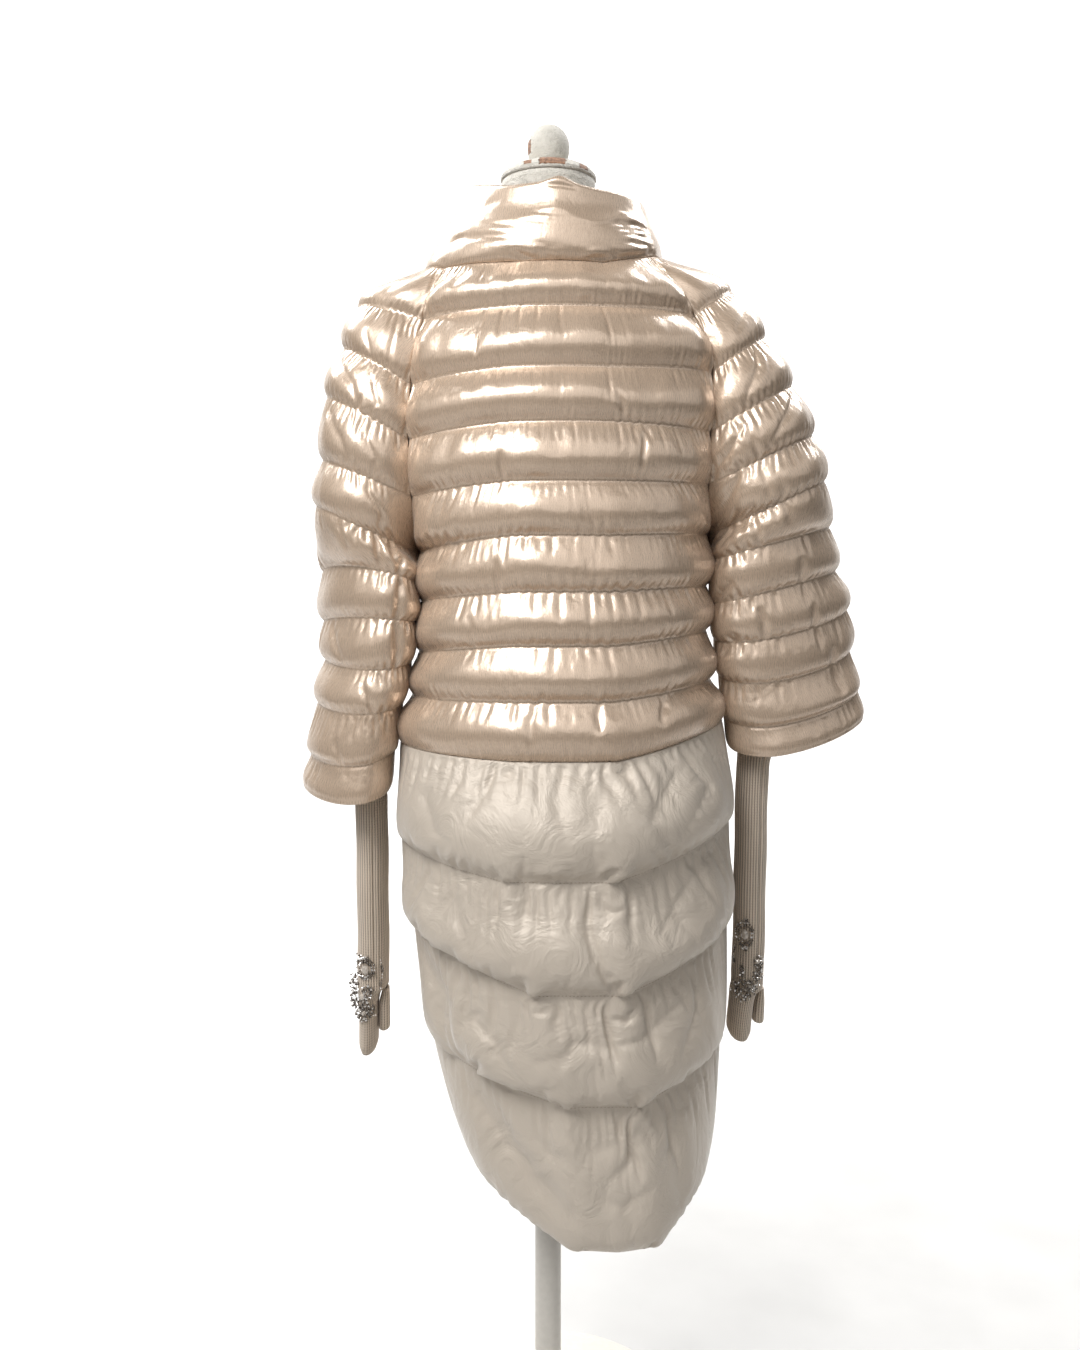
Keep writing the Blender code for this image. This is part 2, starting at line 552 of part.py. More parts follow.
def stone(name, table, row, material):
    """A faceted oval stone, held just off the back of a glove."""
    z, across, x_half, z_half, y_half = row
    knit = {key: float(value[0]) for key, value in
            curve_through(table[::-1], TUBE_COLUMNS, np.array([z])).items()}
    x = knit["x"] + across * knit["x_half"]
    y = -knit["y_half"] - SEAM_GAP - y_half
    bpy.ops.mesh.primitive_uv_sphere_add(segments=8, ring_count=5, radius=1.0, location=(x, y, z))
    thing = bpy.context.object
    thing.name = name
    thing.data.name = name
    thing.scale = (x_half, y_half, z_half)
    keep(thing, material)
    return thing


def keep(thing, material):
    """Move a primitive into the coat's collection, with its own size applied."""
    bpy.context.view_layer.objects.active = thing
    thing.select_set(True)
    bpy.ops.object.transform_apply(location=False, rotation=False, scale=True)
    thing.select_set(False)
    thing.data.materials.append(material)
    for home in list(thing.users_collection):
        home.objects.unlink(thing)
    COAT.objects.link(thing)


def turned(name, profile, material, steps=32):
    """A turned shape: its outer side, top to bottom, swept about the stand's axis."""
    mesh = bpy.data.meshes.new(name)
    mesh.from_pydata([(r, 0.0, z) for r, z in profile], [(i, i + 1) for i in range(len(profile) - 1)], [])
    mesh.materials.append(material)
    thing = bpy.data.objects.new(name, mesh)
    COAT.objects.link(thing)
    screw = thing.modifiers.new("Turn", "SCREW")
    screw.steps = steps
    screw.render_steps = steps
    screw.use_merge_vertices = True
    screw.merge_threshold = 0.00005
    screw.use_smooth_shade = True
    return thing


def arc(middle_r, middle_z, r_half, z_half, start, end, count):
    """Points along an elliptical arc, in degrees from straight up towards the outside."""
    angles = [math.radians(start + (end - start) * i / count) for i in range(count + 1)]
    return [(middle_r + r_half * math.sin(a), middle_z + z_half * math.cos(a)) for a in angles]


def dress_form(material):
    """The torso and neck in one smooth body, flat at the neck's top and at the hips' end."""
    columns = 20
    z_values = np.array([row[0] for row in FORM])
    row = curve_through(FORM[::-1], FORM_COLUMNS, z_values)
    angle = np.linspace(0.0, 2.0 * np.pi, columns, endpoint=False)
    depth = np.where(np.cos(angle) > 0, row["y_back"][:, None], row["y_front"][:, None])
    x = row["x_half"][:, None] * np.sin(angle)
    y = -depth * np.cos(angle)
    grid = np.stack([x, y, np.broadcast_to(z_values[:, None], x.shape)], axis=-1)
    index = np.arange(grid.shape[0] * columns).reshape(grid.shape[0], columns)
    faces = [(int(index[i, j]), int(index[i, (j + 1) % columns]),
              int(index[i + 1, (j + 1) % columns]), int(index[i + 1, j]))
             for i in range(grid.shape[0] - 1) for j in range(columns)]
    faces.append(tuple(int(v) for v in index[0]))
    faces.append(tuple(int(v) for v in index[-1]))
    return mesh_object("form_torso", list(map(tuple, grid.reshape(-1, 3))), faces, material)


for leftover in list(bpy.data.objects):
    bpy.data.objects.remove(leftover, do_unlink=True)
COAT = bpy.data.collections.new("long_puffer_coat")
bpy.context.scene.collection.children.link(COAT)

SATIN = make_material("champagne_satin", (0.62, 0.50, 0.39), 0.32)
MATTE = make_material("stone_cloth", (0.44, 0.40, 0.33), 0.62)
KNIT = make_material("taupe_knit", (0.25, 0.20, 0.15), 0.85)
PAINT = make_material("white_paint", (0.80, 0.77, 0.70), 0.55)
CRYSTAL = make_material("crystal", (0.75, 0.72, 0.70), 0.08)

body_panel("back_panel", 0, WAIST_LINE, -1, 1, -1, 24, 3, SATIN)
body_panel("front_panel_left", 0, WAIST_LINE, -1, OVERLAP, 1, 12, 3, SATIN, layer=-1)
body_panel("front_panel_right", 0, WAIST_LINE, -OVERLAP, 1, 1, 12, 3, SATIN, layer=1)
body_panel("skirt_back", WAIST_LINE, HEM_LINE, -1, 1, -1, 24, 6, MATTE)
body_panel("skirt_front_left", WAIST_LINE, HEM_LINE, -1, OVERLAP, 1, 12, 6, MATTE, layer=-1)
body_panel("skirt_front_right", WAIST_LINE, HEM_LINE, -OVERLAP, 1, 1, 12, 6, MATTE, layer=1)
sleeve("sleeve_left", SLEEVE_LEFT, -1, 20, 3, SATIN)
sleeve("sleeve_right", SLEEVE_RIGHT, 1, 20, 3, SATIN)
NECK_EDGE = neck_edge()
collar(44, 6, SATIN)
for side, glove, thumb, stones in (("left", GLOVE_LEFT, THUMB_LEFT, STONES_LEFT),
                                   ("right", GLOVE_RIGHT, THUMB_RIGHT, STONES_RIGHT)):
    knit_tube("glove_" + side, glove, RIBS, KNIT)
    knit_tube("glove_thumb_" + side, thumb, THUMB_RIBS, KNIT)
    for number, row in enumerate(stones, start=1):
        stone("stone_%s_%d" % (side, number), glove, row, CRYSTAL)

dress_form(PAINT)
turned("form_cap", [(0.0, CAP_TOP)] + arc(0.0, CAP_RIM, CAP_RADIUS - 0.002, CAP_TOP - CAP_RIM, 25, 80, 3)
       + [(CAP_RADIUS, CAP_RIM - 0.002), (CAP_RADIUS, FORM[0][0] + 0.0022),
          (CAP_RADIUS - 0.0015, FORM[0][0] + SEAM_GAP), (0.0, FORM[0][0] + SEAM_GAP)], PAINT, 24)
FINIAL_FOOT = CAP_TOP + SEAM_GAP
turned("form_finial", arc(0.0, 1.549, FINIAL_RADIUS, FINIAL_TOP - 1.549, 0, 90, 5)
       + [(0.0240, 1.5415), (0.0222, 1.5345), (0.0200, FINIAL_FOOT), (0.0, FINIAL_FOOT)], PAINT, 20)
turned("stand_pole", [(0.0, FORM[-1][0] - SEAM_GAP), (POLE_RADIUS, FORM[-1][0] - SEAM_GAP),
                      (POLE_RADIUS, BASE_HEIGHT + SEAM_GAP), (0.0, BASE_HEIGHT + SEAM_GAP)], PAINT, 16)
turned("stand_base", [(0.0, BASE_HEIGHT), (0.030, BASE_HEIGHT), (0.036, 0.033)]
       + [(0.085, 0.027), (0.135, 0.024)] + arc(0.150, 0.012, BASE_RADIUS - 0.150, 0.010, 20, 150, 3)
       + [(0.150, 0.0), (0.0, 0.0)], PAINT, 32)
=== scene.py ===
"""Long puffer coat on a dress form: the finish of every piece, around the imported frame.

Lengths along the cloth are counted in lines. On the body, line 0 is the neck seam, lines 1 to 8
are quilting, line 9 is the waist seam, lines 10 to 12 quilt the skirt and line 13 is the hem.
On a sleeve, line 0 is the neck seam, lines 1 to 10 are quilting and line 11 is the hem.
Every piece is a grid of points over lines and turns, worked out as whole arrays.
"""

import math

import bpy
import numpy as np
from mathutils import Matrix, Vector


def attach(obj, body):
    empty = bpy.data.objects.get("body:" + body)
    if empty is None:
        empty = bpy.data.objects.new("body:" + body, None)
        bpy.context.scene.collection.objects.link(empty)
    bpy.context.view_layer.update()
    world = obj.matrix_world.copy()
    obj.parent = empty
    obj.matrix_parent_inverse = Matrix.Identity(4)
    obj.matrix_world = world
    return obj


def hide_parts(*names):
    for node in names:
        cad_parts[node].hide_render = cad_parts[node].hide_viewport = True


bl_info = {
    "name": "Long puffer coat",
    "version": (1, 0, 0),
    "blender": (4, 5, 0),
    "location": "View3D > Sidebar > Coat",
    "description": "Sews and finishes a long puffer coat around its packed solids",
    "category": "Object",
}

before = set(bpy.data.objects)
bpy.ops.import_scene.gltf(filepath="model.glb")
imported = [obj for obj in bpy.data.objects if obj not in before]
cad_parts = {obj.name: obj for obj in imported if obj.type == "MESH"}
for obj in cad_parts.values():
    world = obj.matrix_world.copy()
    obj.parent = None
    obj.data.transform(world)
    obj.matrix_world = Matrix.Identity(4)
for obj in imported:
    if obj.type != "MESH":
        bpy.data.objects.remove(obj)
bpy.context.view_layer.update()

# Shape of the coat, in metres, as its solids have it
SEAM_GAP = 0.0003          # between two pieces that meet
SEAM_HOLD = 0.00027        # how far a panel's edge is held off its seam
CHANNEL_HEIGHT = 0.060     # between two quilting lines of the body and the sleeves
SKIRT_CHANNEL = 0.115      # and of the skirt
HALF_PANEL = 0.123         # half the width of a panel
UNDERARM_LINE = 5
WAIST_LINE = 9
HEM_LINE = 13
SLEEVE_HEM_LINE = 11
SLOT_TABLE_END = 4.8       # the line from which a sleeve closes on its inner side
OVERLAP = 0.16             # fronts past the centre, as a share of half the front
OVERLAP_FADE = 0.30        # over which the upper front comes down again
OVERLAP_LIFT = 0.0080      # the upper front over the lower one
RIDGE_WIDTH = 0.016        # of the skirt's two soft ridges down the back
NECK_MIDDLE = (0.002, 0.0)
SAG = 1.5                  # how far the fill sinks in its channel; 1 is not at all
BESIDE_LOSS = 0.85         # the share of a sleeve's fill lost on its inner side

# Fineness of the cloth
BACK_COLUMNS = 192         # cells across a back
FRONT_COLUMNS = 112        # across a front
SLEEVE_TURNS = 176         # round a sleeve
BODY_ROWS = 24             # down a channel of the body or a sleeve
SKIRT_ROWS = 44            # down a channel of the skirt
COLLAR_GRID = (48, 264)    # up and along the collar
GLOVE_ROWS = 120
THUMB_ROWS = 24
POINTS_PER_RIB = 6
INNER_STRIDE = 4           # outer cells to one inner cell of a padded wall
KNIT_STRIDE = 2            # and of a knitted one

# How the cloth settles
STEPS = 90                 # steps in time
PASSES = 3                 # corrections of every length in each step
MOTION_KEPT = 0.9          # the share of its last motion that a point keeps
CEILING = 1.25             # the most that cloth stands off, as a share of its fill
STAND_OFF = 0.0006         # and in metres where there is no fill
COLLAR_GATHER = 0.002      # the collar's share of spare width

# Metres to one unit across, for the tables of folds; the collar's are for its height and length
BODY_UNIT = 0.20
SLEEVE_UNIT = 0.22
COLLAR_UNITS = (0.11, 0.62)

BODY_COLUMNS = ("line", "z_back", "z_front", "z_left", "z_right", "x_left", "x_back", "x_front",
                "x_right", "y_back", "y_front", "gap", "span", "power", "ridge", "ridge_half")
BODY = (
    (0, 1.388, 1.372, 1.393, 1.405, -0.118, 0.008, 0.008, 0.114,
     -0.120, 0.105, 0.068, 62, 2.0, 0, 0.05),
    (1, 1.337, 1.325, 1.334, 1.339, -0.141, 0.010, 0.010, 0.162,
     -0.135, 0.125, 0.078, 60, 2.0, 0, 0.05),
    (2, 1.269, 1.262, 1.261, 1.275, -0.154, 0.011, 0.011, 0.183,
     -0.155, 0.140, 0.084, 62, 2.0, 0, 0.05),
    (3, 1.210, 1.205, 1.200, 1.208, -0.157, 0.011, 0.011, 0.181,
     -0.165, 0.147, 0.086, 64, 2.0, 0, 0.05),
    (4, 1.147, 1.143, 1.137, 1.150, -0.155, 0.011, 0.011, 0.180,
     -0.170, 0.150, 0.076, 68, 2.0, 0, 0.05),
    (4.5, 1.118, 1.115, 1.106, 1.123, -0.153, 0.011, 0.011, 0.183,
     -0.170, 0.150, 0.056, 74, 2.05, 0, 0.05),
    (4.8, 1.101, 1.098, 1.088, 1.107, -0.152, 0.011, 0.011, 0.185,
     -0.170, 0.150, 0.035, 82, 2.1, 0, 0.05),
    (5, 1.089, 1.086, 1.076, 1.096, -0.152, 0.011, 0.011, 0.187,
     -0.170, 0.150, 0, 90, 2.1, 0, 0.05),
    (6, 1.029, 1.026, 1.019, 1.037, -0.152, 0.012, 0.012, 0.187,
     -0.170, 0.150, 0, 90, 2.1, 0, 0.05),
    (7, 0.971, 0.968, 0.960, 0.985, -0.154, 0.013, 0.013, 0.187,
     -0.170, 0.150, 0, 90, 2.1, 0, 0.05),
    (8, 0.911, 0.909, 0.909, 0.928, -0.162, 0.014, 0.014, 0.192,
     -0.172, 0.152, 0, 90, 2.1, 0, 0.05),
    (9, 0.847, 0.848, 0.853, 0.880, -0.1765, 0.016, 0.016, 0.206,
     -0.175, 0.155, 0, 90, 2.1, 0.001, 0.055),
    (10, 0.722, 0.735, 0.740, 0.764, -0.1755, 0.012, 0.018, 0.216,
     -0.198, 0.160, 0, 90, 1.95, 0.006, 0.057),
    (11, 0.602, 0.630, 0.643, 0.643, -0.163, 0.032, 0.026, 0.215,
     -0.202, 0.150, 0, 90, 1.85, 0.007, 0.045),
    (12, 0.475, 0.505, 0.506, 0.508, -0.142, 0.057, 0.035, 0.209,
     -0.185, 0.120, 0, 90, 1.8, 0.007, 0.038),
    (13, 0.303, 0.385, 0.357, 0.357, -0.097, 0.073, 0.048, 0.190,
     -0.165, 0.085, 0, 90, 1.75, 0.005, 0.046),
)

SLEEVE_COLUMNS = ("line", "x_out", "z_out", "x_in", "z_in", "lean", "depth", "dip", "span", "power")
SLEEVE_LEFT = (
    (0, -0.146, 1.404, -0.118, 1.393, 0, 0.080, 0, 60, 2.0),
    (1, -0.224, 1.362, -0.141, 1.334, 0, 0.080, 0, 90, 2.0),
    (2, -0.240, 1.313, -0.154, 1.261, 0, 0.088, 0, 110, 2.0),
    (3, -0.260, 1.257, -0.157, 1.200, 0, 0.094, 0, 120, 2.0),
    (4, -0.266, 1.184, -0.155, 1.137, 0, 0.095, 0, 130, 2.0),
    (4.5, -0.270, 1.158, -0.153, 1.106, 0, 0.095, 0, 145, 2.0),
    (4.8, -0.273, 1.142, -0.152, 1.088, 0, 0.095, 0, 158.4, 2.0),
    (5, -0.274, 1.131, -0.152, 1.076, 0, 0.095, 0, 180, 2.0),
    (6, -0.266, 1.058, -0.163, 1.033, 0.035, 0.092, 0.006, 180, 2.0),
    (7, -0.265, 0.997, -0.165, 0.989, 0.035, 0.090, 0.006, 180, 2.0),
    (8, -0.266, 0.947, -0.167, 0.952, 0.026, 0.088, -0.008, 180, 1.95),
    (9, -0.276, 0.896, -0.176, 0.904, 0.024, 0.088, -0.009, 180, 1.9),
    (10, -0.284, 0.834, -0.186, 0.850, 0.024, 0.086, -0.010, 180, 1.85),
    (11, -0.292, 0.796, -0.190, 0.811, 0.024, 0.086, -0.016, 180, 1.8),
)
SLEEVE_RIGHT = (
    (0, 0.131, 1.416, 0.114, 1.405, 0, 0.080, 0, 60, 2.0),
    (1, 0.216, 1.377, 0.162, 1.339, 0, 0.080, 0, 90, 2.0),
    (2, 0.253, 1.325, 0.183, 1.275, 0, 0.088, 0, 110, 2.0),
    (3, 0.285, 1.269, 0.181, 1.208, 0, 0.094, 0, 120, 2.0),
    (4, 0.310, 1.213, 0.180, 1.150, 0, 0.095, 0, 130, 2.0),
    (4.5, 0.317, 1.186, 0.183, 1.123, 0, 0.095, 0, 145, 2.0),
    (4.8, 0.322, 1.170, 0.185, 1.107, 0, 0.095, 0, 158.4, 2.0),
    (5, 0.325, 1.160, 0.187, 1.096, 0, 0.095, 0, 180, 2.0),
    (6, 0.334, 1.106, 0.197, 1.069, -0.030, 0.086, -0.008, 180, 2.0),
    (7, 0.341, 1.053, 0.199, 1.019, -0.036, 0.078, -0.010, 180, 1.95),
    (8, 0.354, 1.004, 0.203, 0.982, -0.039, 0.072, -0.019, 180, 1.9),
    (9, 0.358, 0.954, 0.2085, 0.943, -0.039, 0.066, -0.024, 180, 1.85),
    (10, 0.369, 0.906, 0.2145, 0.894, -0.038, 0.063, -0.026, 180, 1.8),
    (11, 0.374, 0.874, 0.2185, 0.861, -0.036, 0.062, -0.028, 180, 1.75),
)

COLLAR_COLUMNS = ("angle", "x", "y", "z")
COLLAR_TOP = (
    (-180, 0.010, 0.100, 1.478),
    (-130, -0.058, 0.078, 1.490),
    (-100, -0.089, 0.025, 1.502),
    (-88, -0.090, -0.002, 1.502),
    (-65, -0.074, -0.050, 1.491),
    (-35, -0.040, -0.092, 1.477),
    (0, 0.012, -0.110, 1.475),
    (35, 0.062, -0.092, 1.471),
    (65, 0.103, -0.050, 1.472),
    (90, 0.114, 0.000, 1.468),
    (130, 0.076, 0.070, 1.470),
    (180, 0.010, 0.100, 1.478),
)

THUMB_HEIGHT = 0.6         # a knitted tube that starts below this is a thumb
THUMB_FOLD = (0.0024, 0.085, 0.548, 0.60)  # depth, width, and heights where it ends and is full
TUBE_COLUMNS = ("z", "x", "lean", "x_half", "y_half")
GLOVE_LEFT = (
    (0.875, -0.228, 0.018, 0.034, 0.062),
    (0.845, -0.229, 0.016, 0.031, 0.055),
    (0.812, -0.225, 0.008, 0.025, 0.045),
    (0.780, -0.2135, 0, 0.0192, 0.037),
    (0.5525, -0.2128, 0, 0.0189, 0.034),
    (0.5488, -0.2168, 0, 0.0149, 0.035),
    (0.528, -0.2187, 0, 0.0117, 0.035),
    (0.484, -0.2190, 0, 0.0112, 0.034),
    (0.474, -0.2190, 0, 0.0085, 0.030),
)
THUMB_LEFT = (
    (0.549, -0.1976, 0, 0.0042, 0.011),
    (0.528, -0.1998, 0, 0.0068, 0.015),
    (0.504, -0.2000, 0, 0.0070, 0.015),
    (0.499, -0.2000, 0, 0.0062, 0.014),
)
GLOVE_RIGHT = (
    (0.945, 0.279, -0.026, 0.050, 0.043),
    (0.915, 0.277, -0.024, 0.044, 0.040),
    (0.880, 0.2680, -0.012, 0.032, 0.036),
    (0.850, 0.2525, -0.003, 0.0235, 0.035),
    (0.820, 0.2465, 0, 0.0190, 0.034),
    (0.5525, 0.2425, 0, 0.0190, 0.034),
    (0.5488, 0.2385, 0, 0.0160, 0.035),
    (0.528, 0.2346, 0, 0.0142, 0.035),
    (0.500, 0.2325, 0, 0.0140, 0.034),
    (0.491, 0.2325, 0, 0.0105, 0.030),
)
THUMB_RIGHT = (
    (0.549, 0.2588, 0, 0.0044, 0.011),
    (0.528, 0.2566, 0, 0.0072, 0.015),
    (0.514, 0.2560, 0, 0.0074, 0.015),
    (0.508, 0.2560, 0, 0.0066, 0.014),
)

FORM_COLUMNS = ("z", "x_half", "y_back", "y_front")
FORM = (
    (1.508, 0.0545, 0.0545, 0.0545),
    (1.470, 0.0550, 0.0550, 0.0550),
    (1.448, 0.0620, 0.0580, 0.0560),
    (1.430, 0.0840, 0.0640, 0.0600),
    (1.410, 0.1140, 0.0720, 0.0680),
    (1.390, 0.1400, 0.0800, 0.0760),
    (1.365, 0.1600, 0.0880, 0.0850),
    (1.330, 0.1640, 0.1000, 0.0980),
    (1.270, 0.1480, 0.1140, 0.1120),
    (1.180, 0.1370, 0.1160, 0.1180),
    (1.100, 0.1300, 0.1080, 0.1080),
    (1.020, 0.1200, 0.0980, 0.0960),
    (0.940, 0.1300, 0.1080, 0.1020),
    (0.860, 0.1440, 0.1240, 0.1120),
    (0.800, 0.1460, 0.1280, 0.1120),
    (0.765, 0.1380, 0.1200, 0.1040),
    (0.752, 0.1180, 0.1020, 0.0880),
)

# Folds placed one by one: half width and height in metres, then places as line and across
BACK_CREASES = (
    (0.003, -0.003, (2.6, 0.29), (2.9, 0.33)),
    (0.003, -0.003, (3.6, -0.29), (4.0, -0.28)),
    (0.003, -0.0035, (7.95, 0.12), (8.4, 0.12)),
    (0.0025, -0.003, (5.45, -0.25), (5.95, -0.24)),
    (0.003, -0.003, (8.3, -0.11), (8.75, -0.10)),
    (0.003, -0.003, (3.3, 0.43), (3.85, 0.40)),
    (0.003, -0.0025, (6.45, -0.37), (6.95, -0.35)),
    (0.003, -0.003, (7.95, 0.43), (8.5, 0.36)),
)
SKIRT_CREASES = (
    (0.013, -0.011, (11.05, -0.77), (11.4, -0.62), (11.85, -0.56), (12.2, -0.49), (12.45, -0.41),
     (12.6, -0.31), (12.7, -0.21)),
    (0.007, 0.004, (10.7, -0.57), (11.2, -0.53), (11.7, -0.46), (12.1, -0.41), (12.3, -0.33)),
    (0.006, -0.003, (9.65, -0.34), (9.4, -0.28), (9.2, -0.30)),
    (0.005, -0.003, (9.35, -0.02), (9.65, 0.01), (9.9, 0.04)),
    (0.005, -0.003, (9.65, 0.26), (9.45, 0.33), (9.3, 0.40)),
    (0.004, -0.0035, (9.85, 0.37), (9.65, 0.46), (9.5, 0.54)),
    (0.005, -0.004, (10.3, -0.42), (10.65, -0.38), (10.95, -0.33)),
    (0.005, -0.004, (10.35, 0.08), (10.65, 0.11), (10.9, 0.14)),
    (0.004, -0.0035, (10.55, 0.33), (10.3, 0.45), (10.15, 0.54)),
    (0.005, -0.004, (11.45, 0.04), (11.4, 0.21), (11.25, 0.41)),
    (0.004, -0.004, (11.6, -0.19), (11.4, -0.06), (11.4, 0.05)),
    (0.005, -0.004, (11.4, -0.45), (11.55, -0.34), (11.8, -0.29)),
    (0.005, -0.005, (12.1, 0.17), (12.25, 0.23), (12.35, 0.15), (12.5, 0.0)),
    (0.004, -0.004, (12.2, -0.18), (12.3, -0.08), (12.25, 0.08)),
    (0.005, -0.004, (12.2, -0.34), (12.35, -0.25), (12.4, -0.13)),
    (0.004, -0.0035, (11.75, 0.44), (12.15, 0.41), (12.4, 0.30)),
    (0.004, -0.0035, (11.05, 0.54), (11.4, 0.47), (11.65, 0.36)),
    (0.004, -0.004, (12.6, -0.05), (12.65, 0.08), (12.55, 0.22)),
    (0.004, -0.0035, (11.6, -0.63), (11.9, -0.62), (12.2, -0.58)),
    (0.004, -0.003, (9.45, -0.52), (9.7, -0.46), (9.8, -0.36)),
    (0.004, -0.006, (10.02, -0.19), (10.12, -0.16)),
    (0.004, -0.006, (10.02, 0.15), (10.10, 0.20)),
    (0.004, -0.007, (11.02, -0.16), (11.16, -0.12)),
    (0.005, -0.009, (11.02, 0.16), (11.15, 0.19), (11.22, 0.15)),
    (0.005, -0.009, (12.02, 0.17), (12.16, 0.21), (12.32, 0.14)),
    (0.005, -0.006, (10.98, 0.16), (10.78, 0.12)),
    (0.005, -0.006, (11.98, 0.17), (11.74, 0.14)),
    (0.005, -0.005, (9.97, 0.15), (9.80, 0.12)),
)
# Small gathers hanging from the waist seam: place across, length in lines, depth in metres
WAIST_GATHERS = (
    (-0.80, 0.16, 0.003), (-0.63, 0.22, 0.004), (-0.49, 0.12, 0.002), (-0.38, 0.26, 0.003),
    (-0.24, 0.15, 0.003), (-0.09, 0.20, 0.002), (0.04, 0.12, 0.003), (0.15, 0.24, 0.003),
    (0.31, 0.14, 0.002), (0.46, 0.20, 0.004), (0.60, 0.15, 0.003), (0.79, 0.22, 0.003),
)
SLEEVE_LEFT_CREASES = (
    (0.005, -0.0045, (2.1, -0.16), (2.6, -0.55), (3.1, -0.64)),
    (0.004, -0.004, (3.15, -0.30), (3.55, -0.50), (3.9, -0.57)),
    (0.0035, -0.004, (3.3, -0.66), (3.65, -0.74), (4.0, -0.69)),
    (0.004, -0.005, (4.25, -0.66), (4.6, -0.72), (4.9, -0.66)),
    (0.0045, -0.006, (4.85, -0.72), (5.65, -0.58), (6.0, -0.57)),
    (0.005, -0.006, (6.2, -0.57), (7.1, -0.55), (8.0, -0.61)),
    (0.003, -0.0035, (5.0, -0.39), (5.5, -0.35)),
    (0.003, -0.003, (7.05, -0.08), (7.75, -0.22)),
    (0.0035, -0.004, (2.35, -0.69), (2.7, -0.76)),
    (0.004, -0.004, (8.45, -0.42), (9.15, -0.55)),
    (0.003, 0.003, (2.05, -0.32), (2.55, -0.60), (3.05, -0.68)),
    (0.0035, -0.0035, (1.35, -0.81), (2.05, -0.79)),
    (0.003, -0.003, (1.55, -0.56), (1.9, -0.64)),
    (0.0035, -0.003, (9.55, -0.30), (10.2, -0.38)),
)
SLEEVE_RIGHT_CREASES = (
    (0.0035, -0.005, (2.05, -0.54), (2.4, -0.59), (2.7, -0.70), (2.9, -0.74)),
    (0.003, 0.0035, (2.25, -0.50), (2.6, -0.55), (2.85, -0.66)),
    (0.004, -0.0045, (3.15, -0.31), (3.5, -0.51), (3.75, -0.63)),
    (0.0035, -0.004, (3.45, -0.74), (3.85, -0.69), (4.7, -0.61)),
    (0.005, -0.006, (3.8, -0.97), (3.65, -0.87), (3.3, -0.78)),
    (0.004, 0.005, (4.3, -0.93), (4.1, -0.86), (3.8, -0.80)),
    (0.0055, -0.007, (4.9, -0.93), (4.5, -0.85), (4.15, -0.80)),
    (0.004, 0.004, (5.3, -0.86), (4.9, -0.80), (4.6, -0.75)),
    (0.004, -0.005, (5.7, -0.73), (4.95, -0.73), (4.8, -0.69)),
    (0.0045, -0.005, (6.95, -0.75), (6.65, -0.63)),
    (0.004, -0.0045, (8.2, -0.70), (7.85, -0.61)),
    (0.0035, -0.0035, (4.55, -0.56), (5.5, -0.41)),
    (0.0035, -0.0035, (6.5, -0.29), (7.2, -0.26)),
    (0.003, -0.003, (7.6, -0.25), (8.3, -0.22)),
    (0.0035, -0.0035, (7.35, -0.48), (8.0, -0.46)),
    (0.003, 0.003, (3.5, -0.56), (3.8, -0.65)),
    (0.0035, -0.003, (1.5, -0.20), (1.9, -0.19)),
    (0.003, -0.0035, (1.25, -0.34), (1.65, -0.69)),
    (0.004, -0.004, (8.65, -0.15), (9.6, -0.14)),
)
# On the collar: half width and height in metres, then places as height and place along the seam
COLLAR_CREASES = (
    (0.005, -0.0045, (0.02, 0.66), (0.22, 0.63), (0.50, 0.61)),
    (0.004, 0.002, (0.05, 0.65), (0.35, 0.64), (0.62, 0.62)),
    (0.004, -0.004, (0.02, 0.665), (0.26, 0.655), (0.49, 0.64)),
    (0.006, -0.003, (0.02, 0.65), (0.08, 0.60), (0.26, 0.56)),
    (0.005, -0.004, (0.20, 0.34), (0.30, 0.36), (0.30, 0.40)),
    (0.005, -0.004, (0.25, 0.39), (0.29, 0.42), (0.23, 0.45)),
    (0.005, -0.0035, (0.07, 0.49), (0.14, 0.51), (0.10, 0.55)),
    (0.007, -0.0015, (0.90, 0.34), (0.69, 0.38), (0.80, 0.41)),
    (0.006, -0.005, (0.05, 0.12), (0.35, 0.15), (0.60, 0.20)),
    (0.005, -0.004, (0.10, 0.24), (0.45, 0.22)),
    (0.006, -0.005, (0.08, 0.80), (0.40, 0.77), (0.70, 0.74)),
    (0.005, -0.004, (0.30, 0.90), (0.75, 0.87)),
)
COLLAR_PEAK = (0.51, 0.022, 0.006)     # place along the seam, half width and height of its tip
COLLAR_BENDS = ((0.30, 0.09, 0.6), (0.70, 0.06, 0.7))  # place, half width and share of fill lost


# ---------------------------------------------------------------- curves and surfaces

def curve_through(table, columns, at):
    """A table's columns at any line: a monotone cubic, which never passes beyond a row."""
    rows = np.array(table, float)
    keys, values = rows[:, 0], rows[:, 1:]
    at = np.asarray(at, float)
    step = np.diff(keys)[:, None]
    slope = np.diff(values, axis=0) / step
    product = slope[:-1] * slope[1:]
    total = np.where(product > 0, slope[:-1] + slope[1:], 1.0)
    tangent = np.vstack([slope[:1], np.where(product > 0, 2.0 * product / total, 0.0), slope[-1:]])
    first = np.clip(np.searchsorted(keys, at, side="right") - 1, 0, len(keys) - 2)
    width = (keys[first + 1] - keys[first])[..., None]
    u = (at[..., None] - keys[first][..., None]) / width
    result = ((2 * u ** 3 - 3 * u ** 2 + 1) * values[first]
              + (u ** 3 - 2 * u ** 2 + u) * width * tangent[first]
              + (3 * u ** 2 - 2 * u ** 3) * values[first + 1]
              + (u ** 3 - u ** 2) * width * tangent[first + 1])
    return {name: result[..., i] for i, name in enumerate(columns[1:])}


